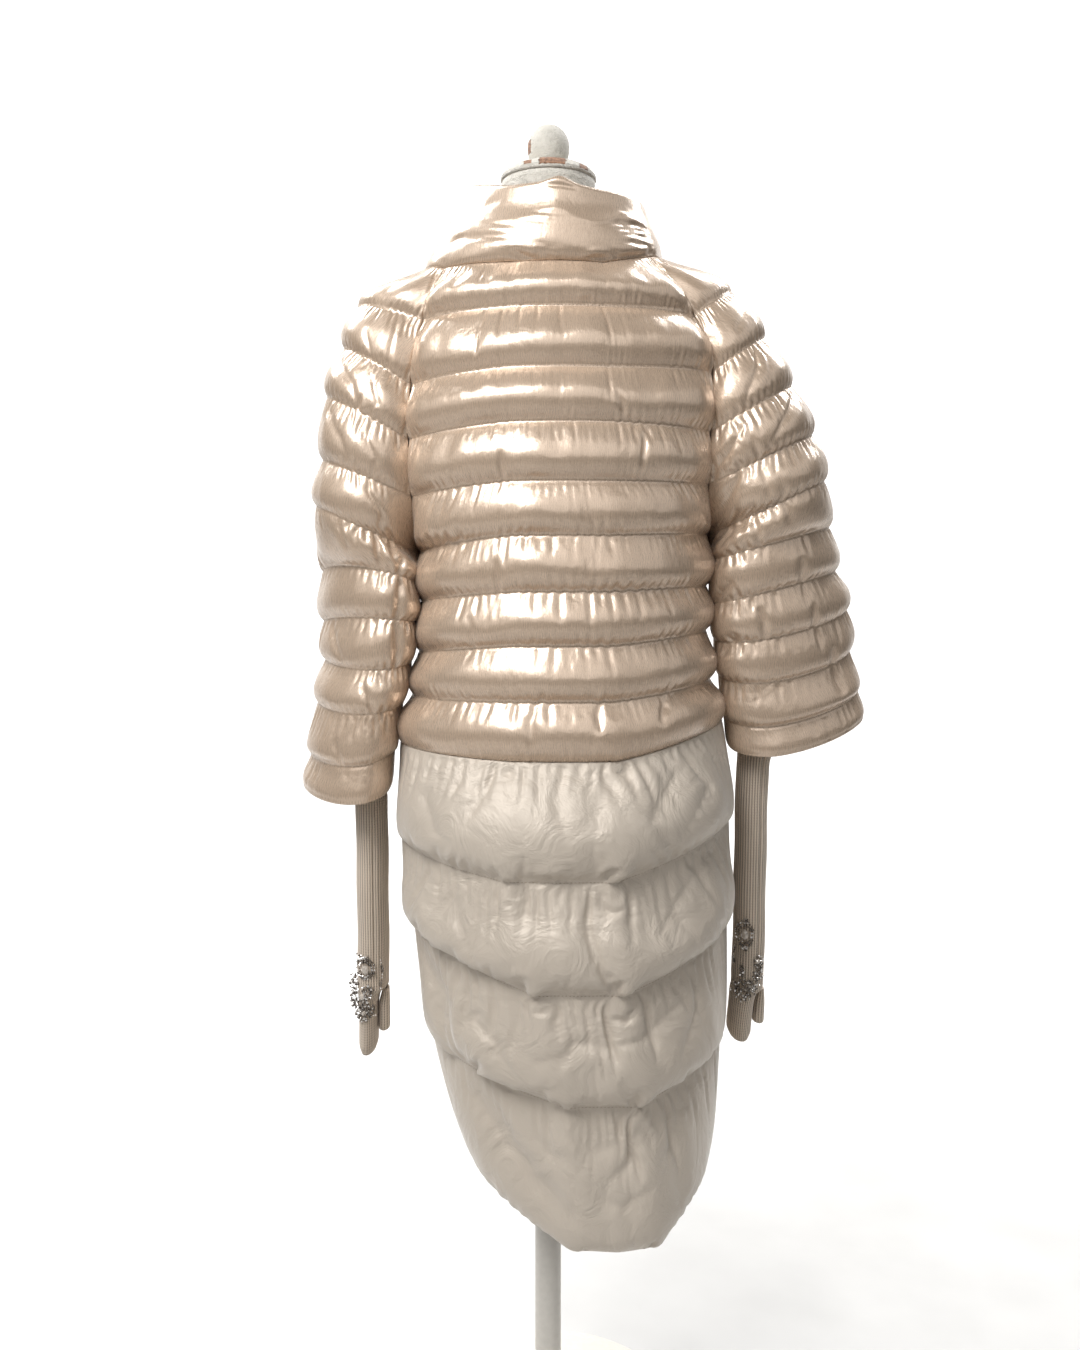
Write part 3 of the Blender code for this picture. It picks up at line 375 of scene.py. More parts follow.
def smooth(value, low, high):
    """0 below low, 1 above high and a smooth step between."""
    u = np.clip((value - low) / (high - low), 0.0, 1.0)
    return u * u * (3.0 - 2.0 * u)


def rounded(value, power):
    """A sine or cosine raised to the power that squares or sharpens an ellipse."""
    return np.sign(value) * np.abs(value) ** (2.0 / power)


def body_point(line, across, face):
    """The stitched face of the body: half a squared ellipse at each line, from side to side.

    across runs -1 to 1, left to right; face is -1 at the back and 1 at the front.
    """
    line, across = np.broadcast_arrays(np.asarray(line, float), np.asarray(across, float))
    row = curve_through(BODY, BODY_COLUMNS, line)
    span = np.radians(row["span"])
    end_sine = rounded(np.sin(span), row["power"])
    end_cosine = rounded(np.cos(span), row["power"])
    reach = rounded(np.sin(across * span), row["power"]) / end_sine
    swell = (rounded(np.cos(across * span), row["power"]) - end_cosine) / (1.0 - end_cosine)
    x_side = np.where(across < 0, row["x_left"], row["x_right"])
    z_side = np.where(across < 0, row["z_left"], row["z_right"])
    y_side = face * row["gap"]
    x_mid = row["x_back"] if face < 0 else row["x_front"]
    y_mid = row["y_back"] if face < 0 else row["y_front"]
    z_mid = row["z_back"] if face < 0 else row["z_front"]
    x = x_mid + (x_side - x_mid) * np.abs(reach)
    y = y_side + (y_mid - y_side) * swell
    half_width = np.abs(x_side - x_mid)
    flat = row["ridge_half"]
    beyond = np.clip((np.abs(x - x_mid) - flat) / (half_width - flat), 0.0, 2.0)
    z = z_mid + (z_side - z_mid) * beyond ** 1.2
    if face < 0:
        ridges = sum(np.exp(-((x - x_mid - side * row["ridge_half"]) / RIDGE_WIDTH) ** 2)
                     for side in (-1, 1))
        y = y - row["ridge"] * ridges
    return np.stack([x, y, z], axis=-1)


def sleeve_point(line, turn, table):
    """The stitched face of a sleeve: a leaning ellipse at each line, open towards the body.

    turn runs -1 to 1, from the back seam over the outer side to the front seam.
    """
    line, turn = np.broadcast_arrays(np.asarray(line, float), np.asarray(turn, float))
    row = curve_through(table, SLEEVE_COLUMNS, line)
    gap = curve_through(BODY, BODY_COLUMNS, line)["gap"]
    near_end = line >= SLOT_TABLE_END
    closing = np.pi - np.arcsin(np.clip(gap / row["depth"], 0.0, 1.0))
    span = np.where(near_end, closing, np.radians(row["span"]))
    sine = np.where(near_end, 1.0, rounded(np.sin(span), row["power"]))
    depth = np.where(near_end, row["depth"], gap / sine)
    angle = turn * span
    end_cosine = rounded(np.cos(span), row["power"])
    outward = rounded(np.cos(angle), row["power"]) - end_cosine
    around = rounded(np.sin(angle), row["power"])
    x = row["x_in"] + (row["x_out"] - row["x_in"]) * outward / (1.0 - end_cosine)
    z = row["z_in"] + (row["z_out"] - row["z_in"]) * outward / (1.0 - end_cosine)
    return np.stack([x - row["lean"] * around, depth * around, z - row["dip"] * around], axis=-1)


def normals(point, line, turn, sign):
    """Unit normals of a surface: the cross product of small steps across it and down it."""
    step = 1e-4
    down = point(line + step, turn) - point(line - step, turn)
    across = point(line, turn + step) - point(line, turn - step)
    direction = sign * np.cross(across, down)
    return direction / np.maximum(np.linalg.norm(direction, axis=-1, keepdims=True), 1e-12)


def sagging(line):
    """The power by which a channel's fill sinks, by its line."""
    return SAG + 0.4 * (line < 1.0) + 0.9 * (line > WAIST_LINE)


def channel(line):
    """The fill between two quilting lines: 0 on a line and 1 where it is fullest.

    It sags below half way, most in the top channel, which hangs from the shoulders, and in the
    skirt's tall ones.
    """
    line = np.asarray(line, float)
    skirt = line > WAIST_LINE
    return np.abs(np.sin(np.pi * (line % 1.0) ** sagging(line))) ** (0.7 - 0.2 * skirt)


def folding(line):
    """How freely the cloth folds: not at all on a quilting line, and fully a little way from it."""
    return smooth(channel(line), 0.0, 0.55)


def on_front(creases, shift):
    """Folds like those of the back, for the front: mirrored, and moved down by part of a line."""
    return tuple((width, height, *[(line + shift, -across) for line, across in places])
                 for width, height, *places in creases)


def waist_gathers():
    """The small folds that hang from the waist seam, as rows of the fold tables."""
    top = WAIST_LINE + 0.03
    return tuple((0.004, -depth, (top, across), (top + length, across + 0.01))
                 for across, length, depth in WAIST_GATHERS)


def seam_groove(across):
    """The fill lost beside a raglan seam: half of it over a wide band, the rest at the seam."""
    return 0.5 * smooth(np.abs(across), 0.80, 0.98) + 0.5 * smooth(np.abs(across), 0.985, 1.0)


def beside_body(turn):
    """1 on a sleeve's inner side, where it hangs against the body, and 0 on its outer side."""
    return smooth(np.abs(turn), 0.66, 0.94)


def cuff_lift(line, turn, height):
    """How far the last channel's cloth stands off at the hem, so that the cuff hangs straight."""
    last = np.clip(line - SLEEVE_HEM_LINE + 1.0, 0.0, 1.0)
    return 0.55 * height * last * (1.0 - BESIDE_LOSS * beside_body(turn))


def body_puff(line, across, height):
    """How far the fill lifts the body's cloth: less beside the arms and at the raglan seams."""
    skirt = smooth(line, WAIST_LINE - 0.3, WAIST_LINE + 0.3)
    beside_arm = smooth(line, 2.5, 5.0) * smooth(np.abs(across), 0.86 - 0.36 * skirt, 0.98)
    raglan = 1.0 - 0.5 * smooth(line, UNDERARM_LINE, UNDERARM_LINE + 1)
    edge = 1.0 - raglan * seam_groove(across)
    hem = 1.0 - 0.35 * smooth(line, HEM_LINE - 1.0, HEM_LINE)
    return height * channel(line) * edge * hem * (1.0 - (0.5 + 0.38 * skirt) * beside_arm)


def sleeve_puff(line, turn, height):
    """How far the fill lifts a sleeve's cloth, least beside the body."""
    inside = beside_body(turn) * smooth(line, 3.0, 5.0)
    raglan = (1.0 - smooth(line, UNDERARM_LINE, UNDERARM_LINE + 0.5)) * seam_groove(turn)
    return height * channel(line) * (1.0 - BESIDE_LOSS * inside) * (1.0 - raglan)


def overlap_lift(across, layer):
    """How far the upper front stands off to lie over the lower one."""
    return OVERLAP_LIFT * (1.0 - smooth(across, OVERLAP, OVERLAP + OVERLAP_FADE)) * (layer > 0)


def overlap_press(across, layer):
    """The share of its fill that the lower front keeps under the upper one."""
    under = 1.0 - smooth(np.abs(across), OVERLAP, OVERLAP + OVERLAP_FADE)
    return 1.0 - 0.75 * under * (layer < 0)


# ---------------------------------------------------------------- settling the cloth

def pull(first, second, free_first, free_second, rest, share, only_longer=False):
    """Moves joined points along their line by a share of their distance's error.

    Each end moves by its own freedom; with only_longer, only pairs that are too close move.
    """
    apart = second - first
    length = np.sqrt(np.einsum("...i,...i->...", apart, apart)) + 1e-12
    error = (length - rest) / length * share
    if only_longer:
        error = np.minimum(error, 0.0)
    error = (error / np.maximum(free_first + free_second, 1e-6))[..., None] * apart
    first += error * free_first[..., None]
    second -= error * free_second[..., None]


def grid_normals(points, sign):
    """Unit normals of a grid of points, from the differences to its neighbours."""
    down = np.gradient(points, axis=0)
    across = np.gradient(points, axis=1)
    direction = sign * np.cross(across, down)
    return direction / (np.linalg.norm(direction, axis=-1, keepdims=True) + 1e-12)


def settle(start, base, outward, free, across, down, slants, ceiling, pressure, bend, straight):
    """Cloth with more length than its stitching, blown out by its fill until it buckles.

    Every step moves the free points on by their last motion and the pressure, then in a few passes
    brings each edge and diagonal of the grid to its cut length, and holds points two apart at
    nearly their flat distance so that folds stay soft. Heights stay between 0 and the ceiling.
    """
    points = start.astype(np.float32)
    last = points.copy()
    free = free.astype(np.float32)
    across, down = across.astype(np.float32), down.astype(np.float32)
    slants = [slant.astype(np.float32) for slant in slants]
    two_across = (across[:, :-1] + across[:, 1:]) * straight
    two_down = (down[:-1] + down[1:]) * straight
    base, outward = base.astype(np.float32), outward.astype(np.float32)
    ceiling = ceiling.astype(np.float32)
    sign = 1.0 if (grid_normals(base, 1.0) * outward).sum() > 0 else -1.0
    for _ in range(STEPS):
        push = grid_normals(points, sign) * pressure + (points - last) * MOTION_KEPT
        last = points.copy()
        points = (points + push * free[..., None]).astype(np.float32)
        for _ in range(PASSES):
            for o in (0, 1):
                pull(points[:, o:-1:2], points[:, o + 1::2], free[:, o:-1:2], free[:, o + 1::2],
                     across[:, o::2], 1.0)
                pull(points[o:-1:2], points[o + 1::2], free[o:-1:2], free[o + 1::2],
                     down[o::2], 1.0)
                pull(points[o:-1:2, :-1], points[o + 1::2, 1:], free[o:-1:2, :-1],
                     free[o + 1::2, 1:], slants[0][o::2], 0.5)
                pull(points[o:-1:2, 1:], points[o + 1::2, :-1], free[o:-1:2, 1:],
                     free[o + 1::2, :-1], slants[1][o::2], 0.5)
            for o in range(4):
                ends = points[:, o + 2::4].shape[1]
                pull(points[:, o:-2:4][:, :ends], points[:, o + 2::4], free[:, o:-2:4][:, :ends],
                     free[:, o + 2::4], two_across[:, o::4][:, :ends], bend, True)
                ends = points[o + 2::4].shape[0]
                pull(points[o:-2:4][:ends], points[o + 2::4], free[o:-2:4][:ends],
                     free[o + 2::4], two_down[o::4][:ends], bend, True)
        height = ((points - base) * outward).sum(-1)
        over = np.maximum(height - ceiling, 0.0) + np.minimum(height, 0.0)
        points -= (over * free)[..., None] * outward
    return points.astype(float)


def drift(shape, seed, across, down):
    """Smooth random values about 0, of unit spread, blurred over so many points each way."""
    values = np.random.default_rng(seed).normal(size=shape)
    for axis, reach in ((0, down), (1, across)):
        count = values.shape[axis]
        wave = np.fft.rfftfreq(count)
        weight = np.exp(-2.0 * (np.pi * wave * reach) ** 2)
        weight = weight[:, None] if axis == 0 else weight[None, :]
        values = np.fft.irfft(np.fft.rfft(values, axis=axis) * weight, n=count, axis=axis)
    return values / values.std()


def lengths_of(points):
    """The distances along a grid's rows, its columns and its two diagonals."""
    pairs = ((points[:, :-1], points[:, 1:]), (points[:-1], points[1:]),
             (points[:-1, :-1], points[1:, 1:]), (points[:-1, 1:], points[1:, :-1]))
    across, down, *slants = [np.linalg.norm(second - first, axis=-1) for first, second in pairs]
    return across, down, slants


def quilted(base, outward, fill, line, stitched, gather, seed, pressure=2.5e-5, bend=0.45,
            straight=0.96, ripple=0.0008, lumps=0.10):
    """A quilted wall's outer cloth: cut to its filled shape plus the gather, then settled.

    The rows of a channel are all cut as wide as its crest, so the cloth is too wide along the
    stitching, where it puckers. gather is the further share of width, uneven by a random drift.
    lumps is the share by which the fill is uneven, in lumps of two sizes, and ripple the height
    of the waves that it starts with.
    """
    fill = fill * np.clip(1.0 + lumps * (0.6 * drift(line.shape, seed + 2, 3.5, 22)
                                         + drift(line.shape, seed + 3, 13, 9)), 0.5, 1.4)
    filled = base + outward * fill[..., None]
    base_across, base_down, base_slants = lengths_of(base)
    across, down, _ = lengths_of(filled)
    crest = np.floor(line[:, 0]) + 0.5 ** (1.0 / sagging(line[:, 0]))
    crest_row = np.argmin(np.abs(line[:, :1] - crest[None, :]), axis=0)
    across = base_across * (across / base_across)[crest_row]
    spread = 1.0 + gather * np.maximum(1.0 + 0.6 * drift(across.shape, seed, 14, 7), 0.2)
    across = across * spread
    high = 0.5 * (across[:-1] + across[1:])
    wide = 0.5 * (down[:, :-1] + down[:, 1:])
    along = (base_slants[0] ** 2 - base_slants[1] ** 2) / 4.0
    flat_high = 0.5 * (base_across[:-1] + base_across[1:])
    flat_wide = 0.5 * (base_down[:, :-1] + base_down[:, 1:])
    skew = along / (flat_high * flat_wide) * high * wide * 2.0
    slants = (np.sqrt(np.maximum(high ** 2 + wide ** 2 + skew, 1e-10)),
              np.sqrt(np.maximum(high ** 2 + wide ** 2 - skew, 1e-10)))
    bump = drift(line.shape, seed + 1, 1.6, 9) * ripple * np.abs(np.sin(np.pi * line))
    start = base + outward * (0.8 * fill + bump * np.minimum(1.0, fill / 0.004))[..., None]
    free = np.where(stitched, 0.0, 1.0)
    start = np.where(stitched[..., None], base, start)
    return settle(start, base, outward, free, across, down, slants, CEILING * fill + STAND_OFF,
                  pressure, bend, straight)


# ---------------------------------------------------------------- meshes

def new_piece(name, points, faces, material, uv=None, smooth_faces=True):
    """A mesh object at the origin from arrays of points, faces and a UV point for each corner."""
    mesh = bpy.data.meshes.new(name)
    mesh.from_pydata(np.asarray(points).tolist(), [], faces)
    if uv is not None:
        layer = mesh.uv_layers.new(name="cloth")
        layer.data.foreach_set("uv", np.asarray(uv, np.float32).ravel())
    mesh.polygons.foreach_set("use_smooth", np.full(len(mesh.polygons), smooth_faces))
    mesh.update()
    mesh.materials.append(material)
    piece = bpy.data.objects.new(name, mesh)
    bpy.context.scene.collection.objects.link(piece)
    return piece


def dress(piece, slot, *nodes):
    """Sets what a piece rides on and hides the solids that it stands for; slot is not used."""
    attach(piece, "root")
    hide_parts(*nodes)
    return piece


def corners_of(values, flip):
    """The four corners of every cell of a grid, in turn one way or the other."""
    corners = [values[:-1, :-1], values[:-1, 1:], values[1:, 1:], values[1:, :-1]]
    return corners[::-1] if flip else corners


def numbered(points):
    """The vertex numbers of a grid of points, row by row."""
    return np.arange(points[..., 0].size).reshape(points.shape[:2])


def grid_faces(index, flip):
    """The quads of a grid of vertex numbers."""
    return np.stack(corners_of(index, flip), axis=-1).reshape(-1, 4)


def corner_uv(values, flip):
    """A grid's UV points for the corners that grid_faces makes."""
    return np.stack(corners_of(values, flip), axis=-2).reshape(-1, 2)


def cloth_uv(points):
    """UV in metres of cloth: along each row from its middle, and down the middle column."""
    across, down, _ = lengths_of(points)
    u = np.concatenate([np.zeros((len(points), 1)), np.cumsum(across, axis=1)], axis=1)
    middle = points.shape[1] // 2
    u = u - u[:, middle:middle + 1]
    v = np.concatenate([[0.0], -np.cumsum(down[:, middle])])
    return np.stack([u, np.broadcast_to(v[:, None], u.shape)], axis=-1)


def rim(index, rows=slice(None), columns=slice(None)):
    """The vertex numbers round a grid's edge, clockwise from its first corner."""
    part = index[rows, columns]
    return np.concatenate([part[0], part[1:, -1], part[-1, -2::-1], part[-2:0:-1, 0], part[:1, 0]])


def wall_piece(name, outer, inner, stride, material, outward_sign, joined_row=None,
               uv_values=None):
    """A closed wall: a fine outer grid and an inner grid of every stride-th row and column.

    The edges are closed by fans: each inner edge takes the stride outer edges it faces. Below
    joined_row the first and last columns are one, so that a sleeve is a tube there.
    """
    flip = outward_sign < 0
    index = numbered(outer)
    inner_index = numbered(inner) + index.size
    if joined_row is not None:
        index[joined_row:, -1] = index[joined_row:, 0]
        inner_index[joined_row // stride:, -1] = inner_index[joined_row // stride:, 0]
    uv = cloth_uv(outer) if uv_values is None else uv_values
    faces = [grid_faces(index, flip), grid_faces(inner_index, not flip)]
    uvs = [corner_uv(uv, flip), corner_uv(uv[::stride, ::stride], not flip)]
    points = np.concatenate([outer.reshape(-1, 3), inner.reshape(-1, 3)])
    loops = [(rim(index), rim(inner_index))]
    if joined_row is not None:
        start = joined_row // stride
        seam = [np.concatenate([numbers[row::-1, 0], numbers[0, 1:], numbers[1:row + 1, -1]])
                for numbers, row in ((index, joined_row), (inner_index, start))]
        hem = (index[-1, ::-1], inner_index[-1, ::-1])
        loops = [seam, hem]
    triangles = []
    for fine, coarse in loops:
        fan = (len(fine) - 1) // (len(coarse) - 1)
        fine_first = fine[:-1].reshape(-1, fan)
        fine_next = fine[1:].reshape(-1, fan)
        half = fan // 2
        near = np.broadcast_to(coarse[:-1, None], fine_first.shape)
        far = np.broadcast_to(coarse[1:, None], fine_first.shape)
        early = np.stack([fine_first[:, :half], near[:, :half], fine_next[:, :half]], -1)
        late = np.stack([fine_first[:, half:], far[:, half:], fine_next[:, half:]], -1)
        middle = np.stack([fine_first[:, half], coarse[:-1], coarse[1:]], -1)
        triangles += [early.reshape(-1, 3), late.reshape(-1, 3), middle]
    triangles = np.concatenate(triangles)
    if flip:
        triangles = triangles[:, ::-1]
    all_uv = np.concatenate([*uvs, np.zeros((len(triangles) * 3, 2))])
    faces = np.concatenate(faces).tolist() + triangles.tolist()
    return new_piece(name, points, faces, material, all_uv)


def lines_and_turns(first, last, per_channel, low, high, columns, hold=0.0):
    """A grid of lines and turns, with whole lines on its rows and its ends held off the seams."""
    lines = np.linspace(first, last, int(round((last - first) * per_channel)) + 1)
    return np.meshgrid(np.clip(lines, first + hold, last - hold),
                       np.linspace(low, high, columns + 1), indexing="ij")


def seam_pinned(line):
    """True where cloth is stitched down: on whole lines, if it has any, and round the edge."""
    stitched = np.abs(line - np.round(line)) < 1e-6
    stitched[[0, -1]] = True
    stitched[:, [0, -1]] = True
    return stitched


STITCH_ROWS = []
STITCH_PITCH = 1.35        # from one stitch to the next, in stitches
STITCH_LIFT = 0.0004       # its middle over the cloth


def keep_stitches(points, outward, line, first, last):
    """Remembers the quilting lines of a settled grid, for the stitching."""
    for number in range(first, last + 1):
        row = int(np.argmin(np.abs(line[:, 0] - number)))
        STITCH_ROWS.append((points[row], outward[row]))


def body_panel(name, first, last, low, high, face, columns, per_channel, fill, gather, seed,
               material, slot, wall, layer, folds, **settling):
    """A quilted panel of the body between two lines and two places across.

    layer is -1 for a front that lies under, 1 for one that laps over it and 0 for a back.
    """
    def point(line, across):
        """A point of this side of the body."""
        return body_point(line, across, face)

    size = CHANNEL_HEIGHT if last <= WAIST_LINE else SKIRT_CHANNEL
    hold = SEAM_HOLD / HALF_PANEL
    line, across = lines_and_turns(first, last, per_channel, low + hold, high - hold, columns,
                                   SEAM_HOLD / size)
    outward = normals(point, line, across, face)
    base = point(line, across) + overlap_lift(across, layer)[..., None] * outward
    puff = body_puff(line, across, fill) * overlap_press(across, layer)
    puff = np.maximum(puff + creased(line, across, folds, size, BODY_UNIT) * folding(line), 0.0)
    gather = gather * (0.3 + 0.7 * smooth(line[:, 1:], 0.7, 1.7))
    outer = quilted(base, outward, puff, line, seam_pinned(line), gather, seed, **settling)
    keep_stitches(outer, outward, line, first + 1, last - 1)
    inner = (base - wall * outward)[::INNER_STRIDE, ::INNER_STRIDE]
    piece = wall_piece("quilted_" + name, outer, inner, INNER_STRIDE, material, face)
    return dress(piece, slot, name)


def sewn_round(names, first, last, seed, folds, shift, **settings):
    """A back and its two fronts between two lines; the fronts' folds are the back's, moved on."""
    front_folds = on_front(folds, shift)
    for place, (name, low, high, face, columns, layer) in enumerate((
            (names[0], -1, 1, -1, BACK_COLUMNS, 0), (names[1], -1, OVERLAP, 1, FRONT_COLUMNS, -1),
            (names[2], -OVERLAP, 1, 1, FRONT_COLUMNS, 1))):
        body_panel(name, first, last, low, high, face, columns, seed=seed + place, layer=layer,
                   folds=folds if face < 0 else front_folds, **settings)


def sleeve_piece(name, table, side, fill, gather, seed, material, wall, folds):
    """A raglan sleeve: an arc from seam to seam down to the underarm, and a tube below it."""
    def point(line, turn):
        """A point of this sleeve."""
        return sleeve_point(line, turn, table)

    line, turn = lines_and_turns(0, SLEEVE_HEM_LINE, BODY_ROWS, -1.0, 1.0, SLEEVE_TURNS,
                                 SEAM_HOLD / CHANNEL_HEIGHT)
    line[-1] = SLEEVE_HEM_LINE
    turn = turn * np.where(line < UNDERARM_LINE, 1.0 - SEAM_HOLD / HALF_PANEL, 1.0)
    outward = normals(point, line, turn, -side)
    lift = cuff_lift(line, turn, fill)
    base = point(line, turn) + lift[..., None] * outward
    depth = folding(line) * (0.5 + 0.5 * smooth(line, 4.5, 7.0))
    flatter = 1.0 - 0.3 * (line > SLEEVE_HEM_LINE - 1)
    puff = np.maximum(sleeve_puff(line, turn, fill) * flatter - lift, 0.0)
    creases = creased(line, turn, folds, CHANNEL_HEIGHT, SLEEVE_UNIT)
    puff = np.maximum(puff + creases * depth, 0.0)
    outer = quilted(base, outward, puff, line, seam_pinned(line), gather, seed, bend=0.6)
    keep_stitches(outer, outward, line, 1, SLEEVE_HEM_LINE - 1)
    inner = (base - wall * outward)[::INNER_STRIDE, ::INNER_STRIDE]
    piece = wall_piece("quilted_" + name, outer, inner, INNER_STRIDE, material, -side,
                       UNDERARM_LINE * BODY_ROWS)
    return dress(piece, "champagne_satin", name)


def run_of(points):
    """The distance run at each point of a row of points, 0 at the first."""
    return np.concatenate([[0.0], np.cumsum(np.linalg.norm(np.diff(points, axis=0), axis=1))])


def columns_at(places, keys, table):
    """Every column of a table at places between its keys, on straight lines."""
    return np.stack([np.interp(places, keys, column) for column in np.transpose(table)], axis=-1)


def neck_edge():
    """The neck seam from the lower front's free edge to the upper's: x, y, z, lift, press."""
    line = -1.5 * SEAM_GAP / CHANNEL_HEIGHT
    runs = []
    for layer, face, low, high in ((-1, 1, OVERLAP, -1.0), (0, -1, -1.0, 1.0),
                                   (1, 1, 1.0, -OVERLAP)):
        across = np.linspace(low, high, 41)
        lift = overlap_lift(across, layer)
        press = overlap_press(across, layer)
        facing = normals(lambda a, b: body_point(a, b, face), line, across, face)
        points = body_point(line, across, face) + lift[:, None] * facing
        runs.append(np.column_stack([points, lift, press]))
    turn = np.linspace(-0.97, 0.97, 25)
    for place, table, order in ((1, SLEEVE_LEFT, -1), (3, SLEEVE_RIGHT, 1)):
        points = sleeve_point(line, turn[::order], table)
        runs.insert(place, np.column_stack([points, np.zeros(len(turn)), np.ones(len(turn))]))
    return np.concatenate(runs)


NECK_EDGE = neck_edge()


def along_neck(place):
    """The neck edge's columns at a share of its length."""
    length = run_of(NECK_EDGE[:, :3])
    return columns_at(place * length[-1], length, NECK_EDGE)


def collar_point(height, place):
    """The collar's outer face: straight lines from the neck edge to the same angle of the top.

    height runs 0 to 1, seam to top; place runs 0 to 1 along the seam.
    """
    height, place = np.broadcast_arrays(np.asarray(height, float), np.asarray(place, float))
    low = along_neck(place)[..., :3]
    angle = np.degrees(np.arctan2(low[..., 0] - NECK_MIDDLE[0], NECK_MIDDLE[1] - low[..., 1]))
    top = curve_through(COLLAR_TOP, COLLAR_COLUMNS, angle)
    middle, half_width, rise = COLLAR_PEAK
    tip = rise * np.exp(-((place - middle) / half_width) ** 2)
    top = np.stack([top["x"], top["y"], top["z"] + tip], axis=-1)
    return low + (top - low) * height[..., None]


def collar_piece(name, rows, columns, fill, gather, material, wall):
    """The stand collar: one padded band without quilting, creased towards its right end.

    It is fullest a little above the seam, and slack at two places where it bends.
    """
    height, place = np.meshgrid(np.linspace(0.0, 1.0, rows + 1), np.linspace(0.0, 1.0, columns + 1),
                                indexing="ij")
    edge = along_neck(place)
    outward = normals(collar_point, height, np.clip(place, 0.001, 0.999), 1)
    slack = np.ones(place.shape)
    for middle, width, lost in COLLAR_BENDS:
        slack = slack * (1.0 - lost * np.exp(-((place - middle) / width) ** 2))
    shape = ((1.0 - np.exp(-(height / 0.07) ** 2)) * (1.0 - 0.8 * smooth(height, 0.12, 0.78))
             * (1.0 - smooth(height, 0.94, 1.0)))
    puff = fill * shape * edge[..., 4] * slack
    puff = np.maximum(puff + creased(height, place, COLLAR_CREASES, *COLLAR_UNITS), 0.0)
    base = collar_point(height, place) + (edge[..., 3] * height)[..., None] * outward
    outer = quilted(base, outward, puff, height, seam_pinned(height), gather, 41, ripple=0.0,
                    bend=1.0, straight=0.985, pressure=0.8e-5, lumps=0.05)
    inner = (base - wall * outward)[::INNER_STRIDE, ::INNER_STRIDE]
    piece = wall_piece("padded_" + name, outer, inner, INNER_STRIDE, material, 1)
    return dress(piece, "champagne_satin", name)


def knit_piece(name, table, ribs, rows, rib_height, wall, material, strip=None):
    """A ribbed tube: the table's ovals from top to bottom, less a raised cosine for each groove.

    A slow sine down it makes it a little uneven, and a thumb is only drawn in by it. strip is
    where, across the back, a fold runs down the knitting to the thumb.
    """
    z, angle = np.meshgrid(np.linspace(table[0][0], table[-1][0], rows + 1),
                           np.linspace(0.0, 2.0 * np.pi, ribs * POINTS_PER_RIB + 1), indexing="ij")
    row = curve_through(table[::-1], TUBE_COLUMNS, z)
    groove = rib_height * (1.0 - (0.5 + 0.5 * np.cos(ribs * angle)) ** 0.6)
    foot = table[-1][0]
    slack = 0.0004 * np.sin(z * 61.0 + 2.0 * np.sin(angle)) * smooth(z, foot, foot + 0.03)
    slack = np.minimum(slack, 0.0) if table[0][0] < THUMB_HEIGHT else slack
    fold = 0.0
    if strip is not None:
        depth, width, foot_of_fold, full = THUMB_FOLD
        fold = (depth * np.exp(-((np.sin(angle) - strip) / width) ** 2) * (np.cos(angle) > 0)
                * smooth(z, foot_of_fold, full))

    def tube(offset):
        """The tube's points, moved out by an offset."""
        x = row["x"] + (row["x_half"] + offset) * np.sin(angle) + row["lean"] * np.cos(angle)
        return np.stack([x, -(row["y_half"] + offset) * np.cos(angle), z], axis=-1)

    outer = tube(slack - groove - fold)
    inner = tube(-rib_height - wall - fold)[::KNIT_STRIDE, ::KNIT_STRIDE]
    along = np.stack([angle / (2.0 * np.pi) * ribs, z - foot], axis=-1)
    piece = wall_piece("knitted_" + name, outer, inner, KNIT_STRIDE, material, -1, 0, along)
    return dress(piece, "taupe_knit", name)


def turned_piece(name, profile, steps, material, depth=None):
    """A turned shape: each ring of the profile a circle, or an oval with its own front and back.

    profile has radius and height from top to bottom; depth has the depths to the back and front.
    """
    profile = np.asarray(profile, float)
    angle = np.linspace(0.0, 2.0 * np.pi, steps, endpoint=False)
    radius, height = profile[:, :1], profile[:, 1:2]
    reach = radius if depth is None else np.where(np.cos(angle) > 0, depth[:, :1], depth[:, 1:])
    ring = np.stack([radius * np.sin(angle), -reach * np.cos(angle),
                     np.broadcast_to(height, (len(profile), steps))], axis=-1)
    index = numbered(ring)
    index = np.concatenate([index, index[:, :1]], axis=1)
    top, bottom = index.max() + 1, index.max() + 2
    points = np.concatenate([ring.reshape(-1, 3), [[0, 0, profile[0, 1]], [0, 0, profile[-1, 1]]]])
    caps = [np.stack([index[0, :-1], index[0, 1:], np.full(steps, top)], -1),
            np.stack([index[-1, 1:], index[-1, :-1], np.full(steps, bottom)], -1)]
    faces = grid_faces(index, True).tolist() + np.concatenate(caps).tolist()
    return new_piece(name, points, faces, material)


def arc(middle_r, middle_z, r_half, z_half, start, end, count):
    """Points along an elliptical arc, in degrees from straight up towards the outside."""
    angles = np.radians(np.linspace(start, end, count + 1))
    return np.column_stack([middle_r + r_half * np.sin(angles), middle_z + z_half * np.cos(angles)])


CAP_RIM, CAP_TOP = 1.5145, 1.530          # heights where the cap's top begins to bend and ends
KNOB_MIDDLE, KNOB_TOP = 1.549, 1.575
BASE_TOP = 0.040
MIDDLE = 0.004                            # radius of the innermost ring of a turned end


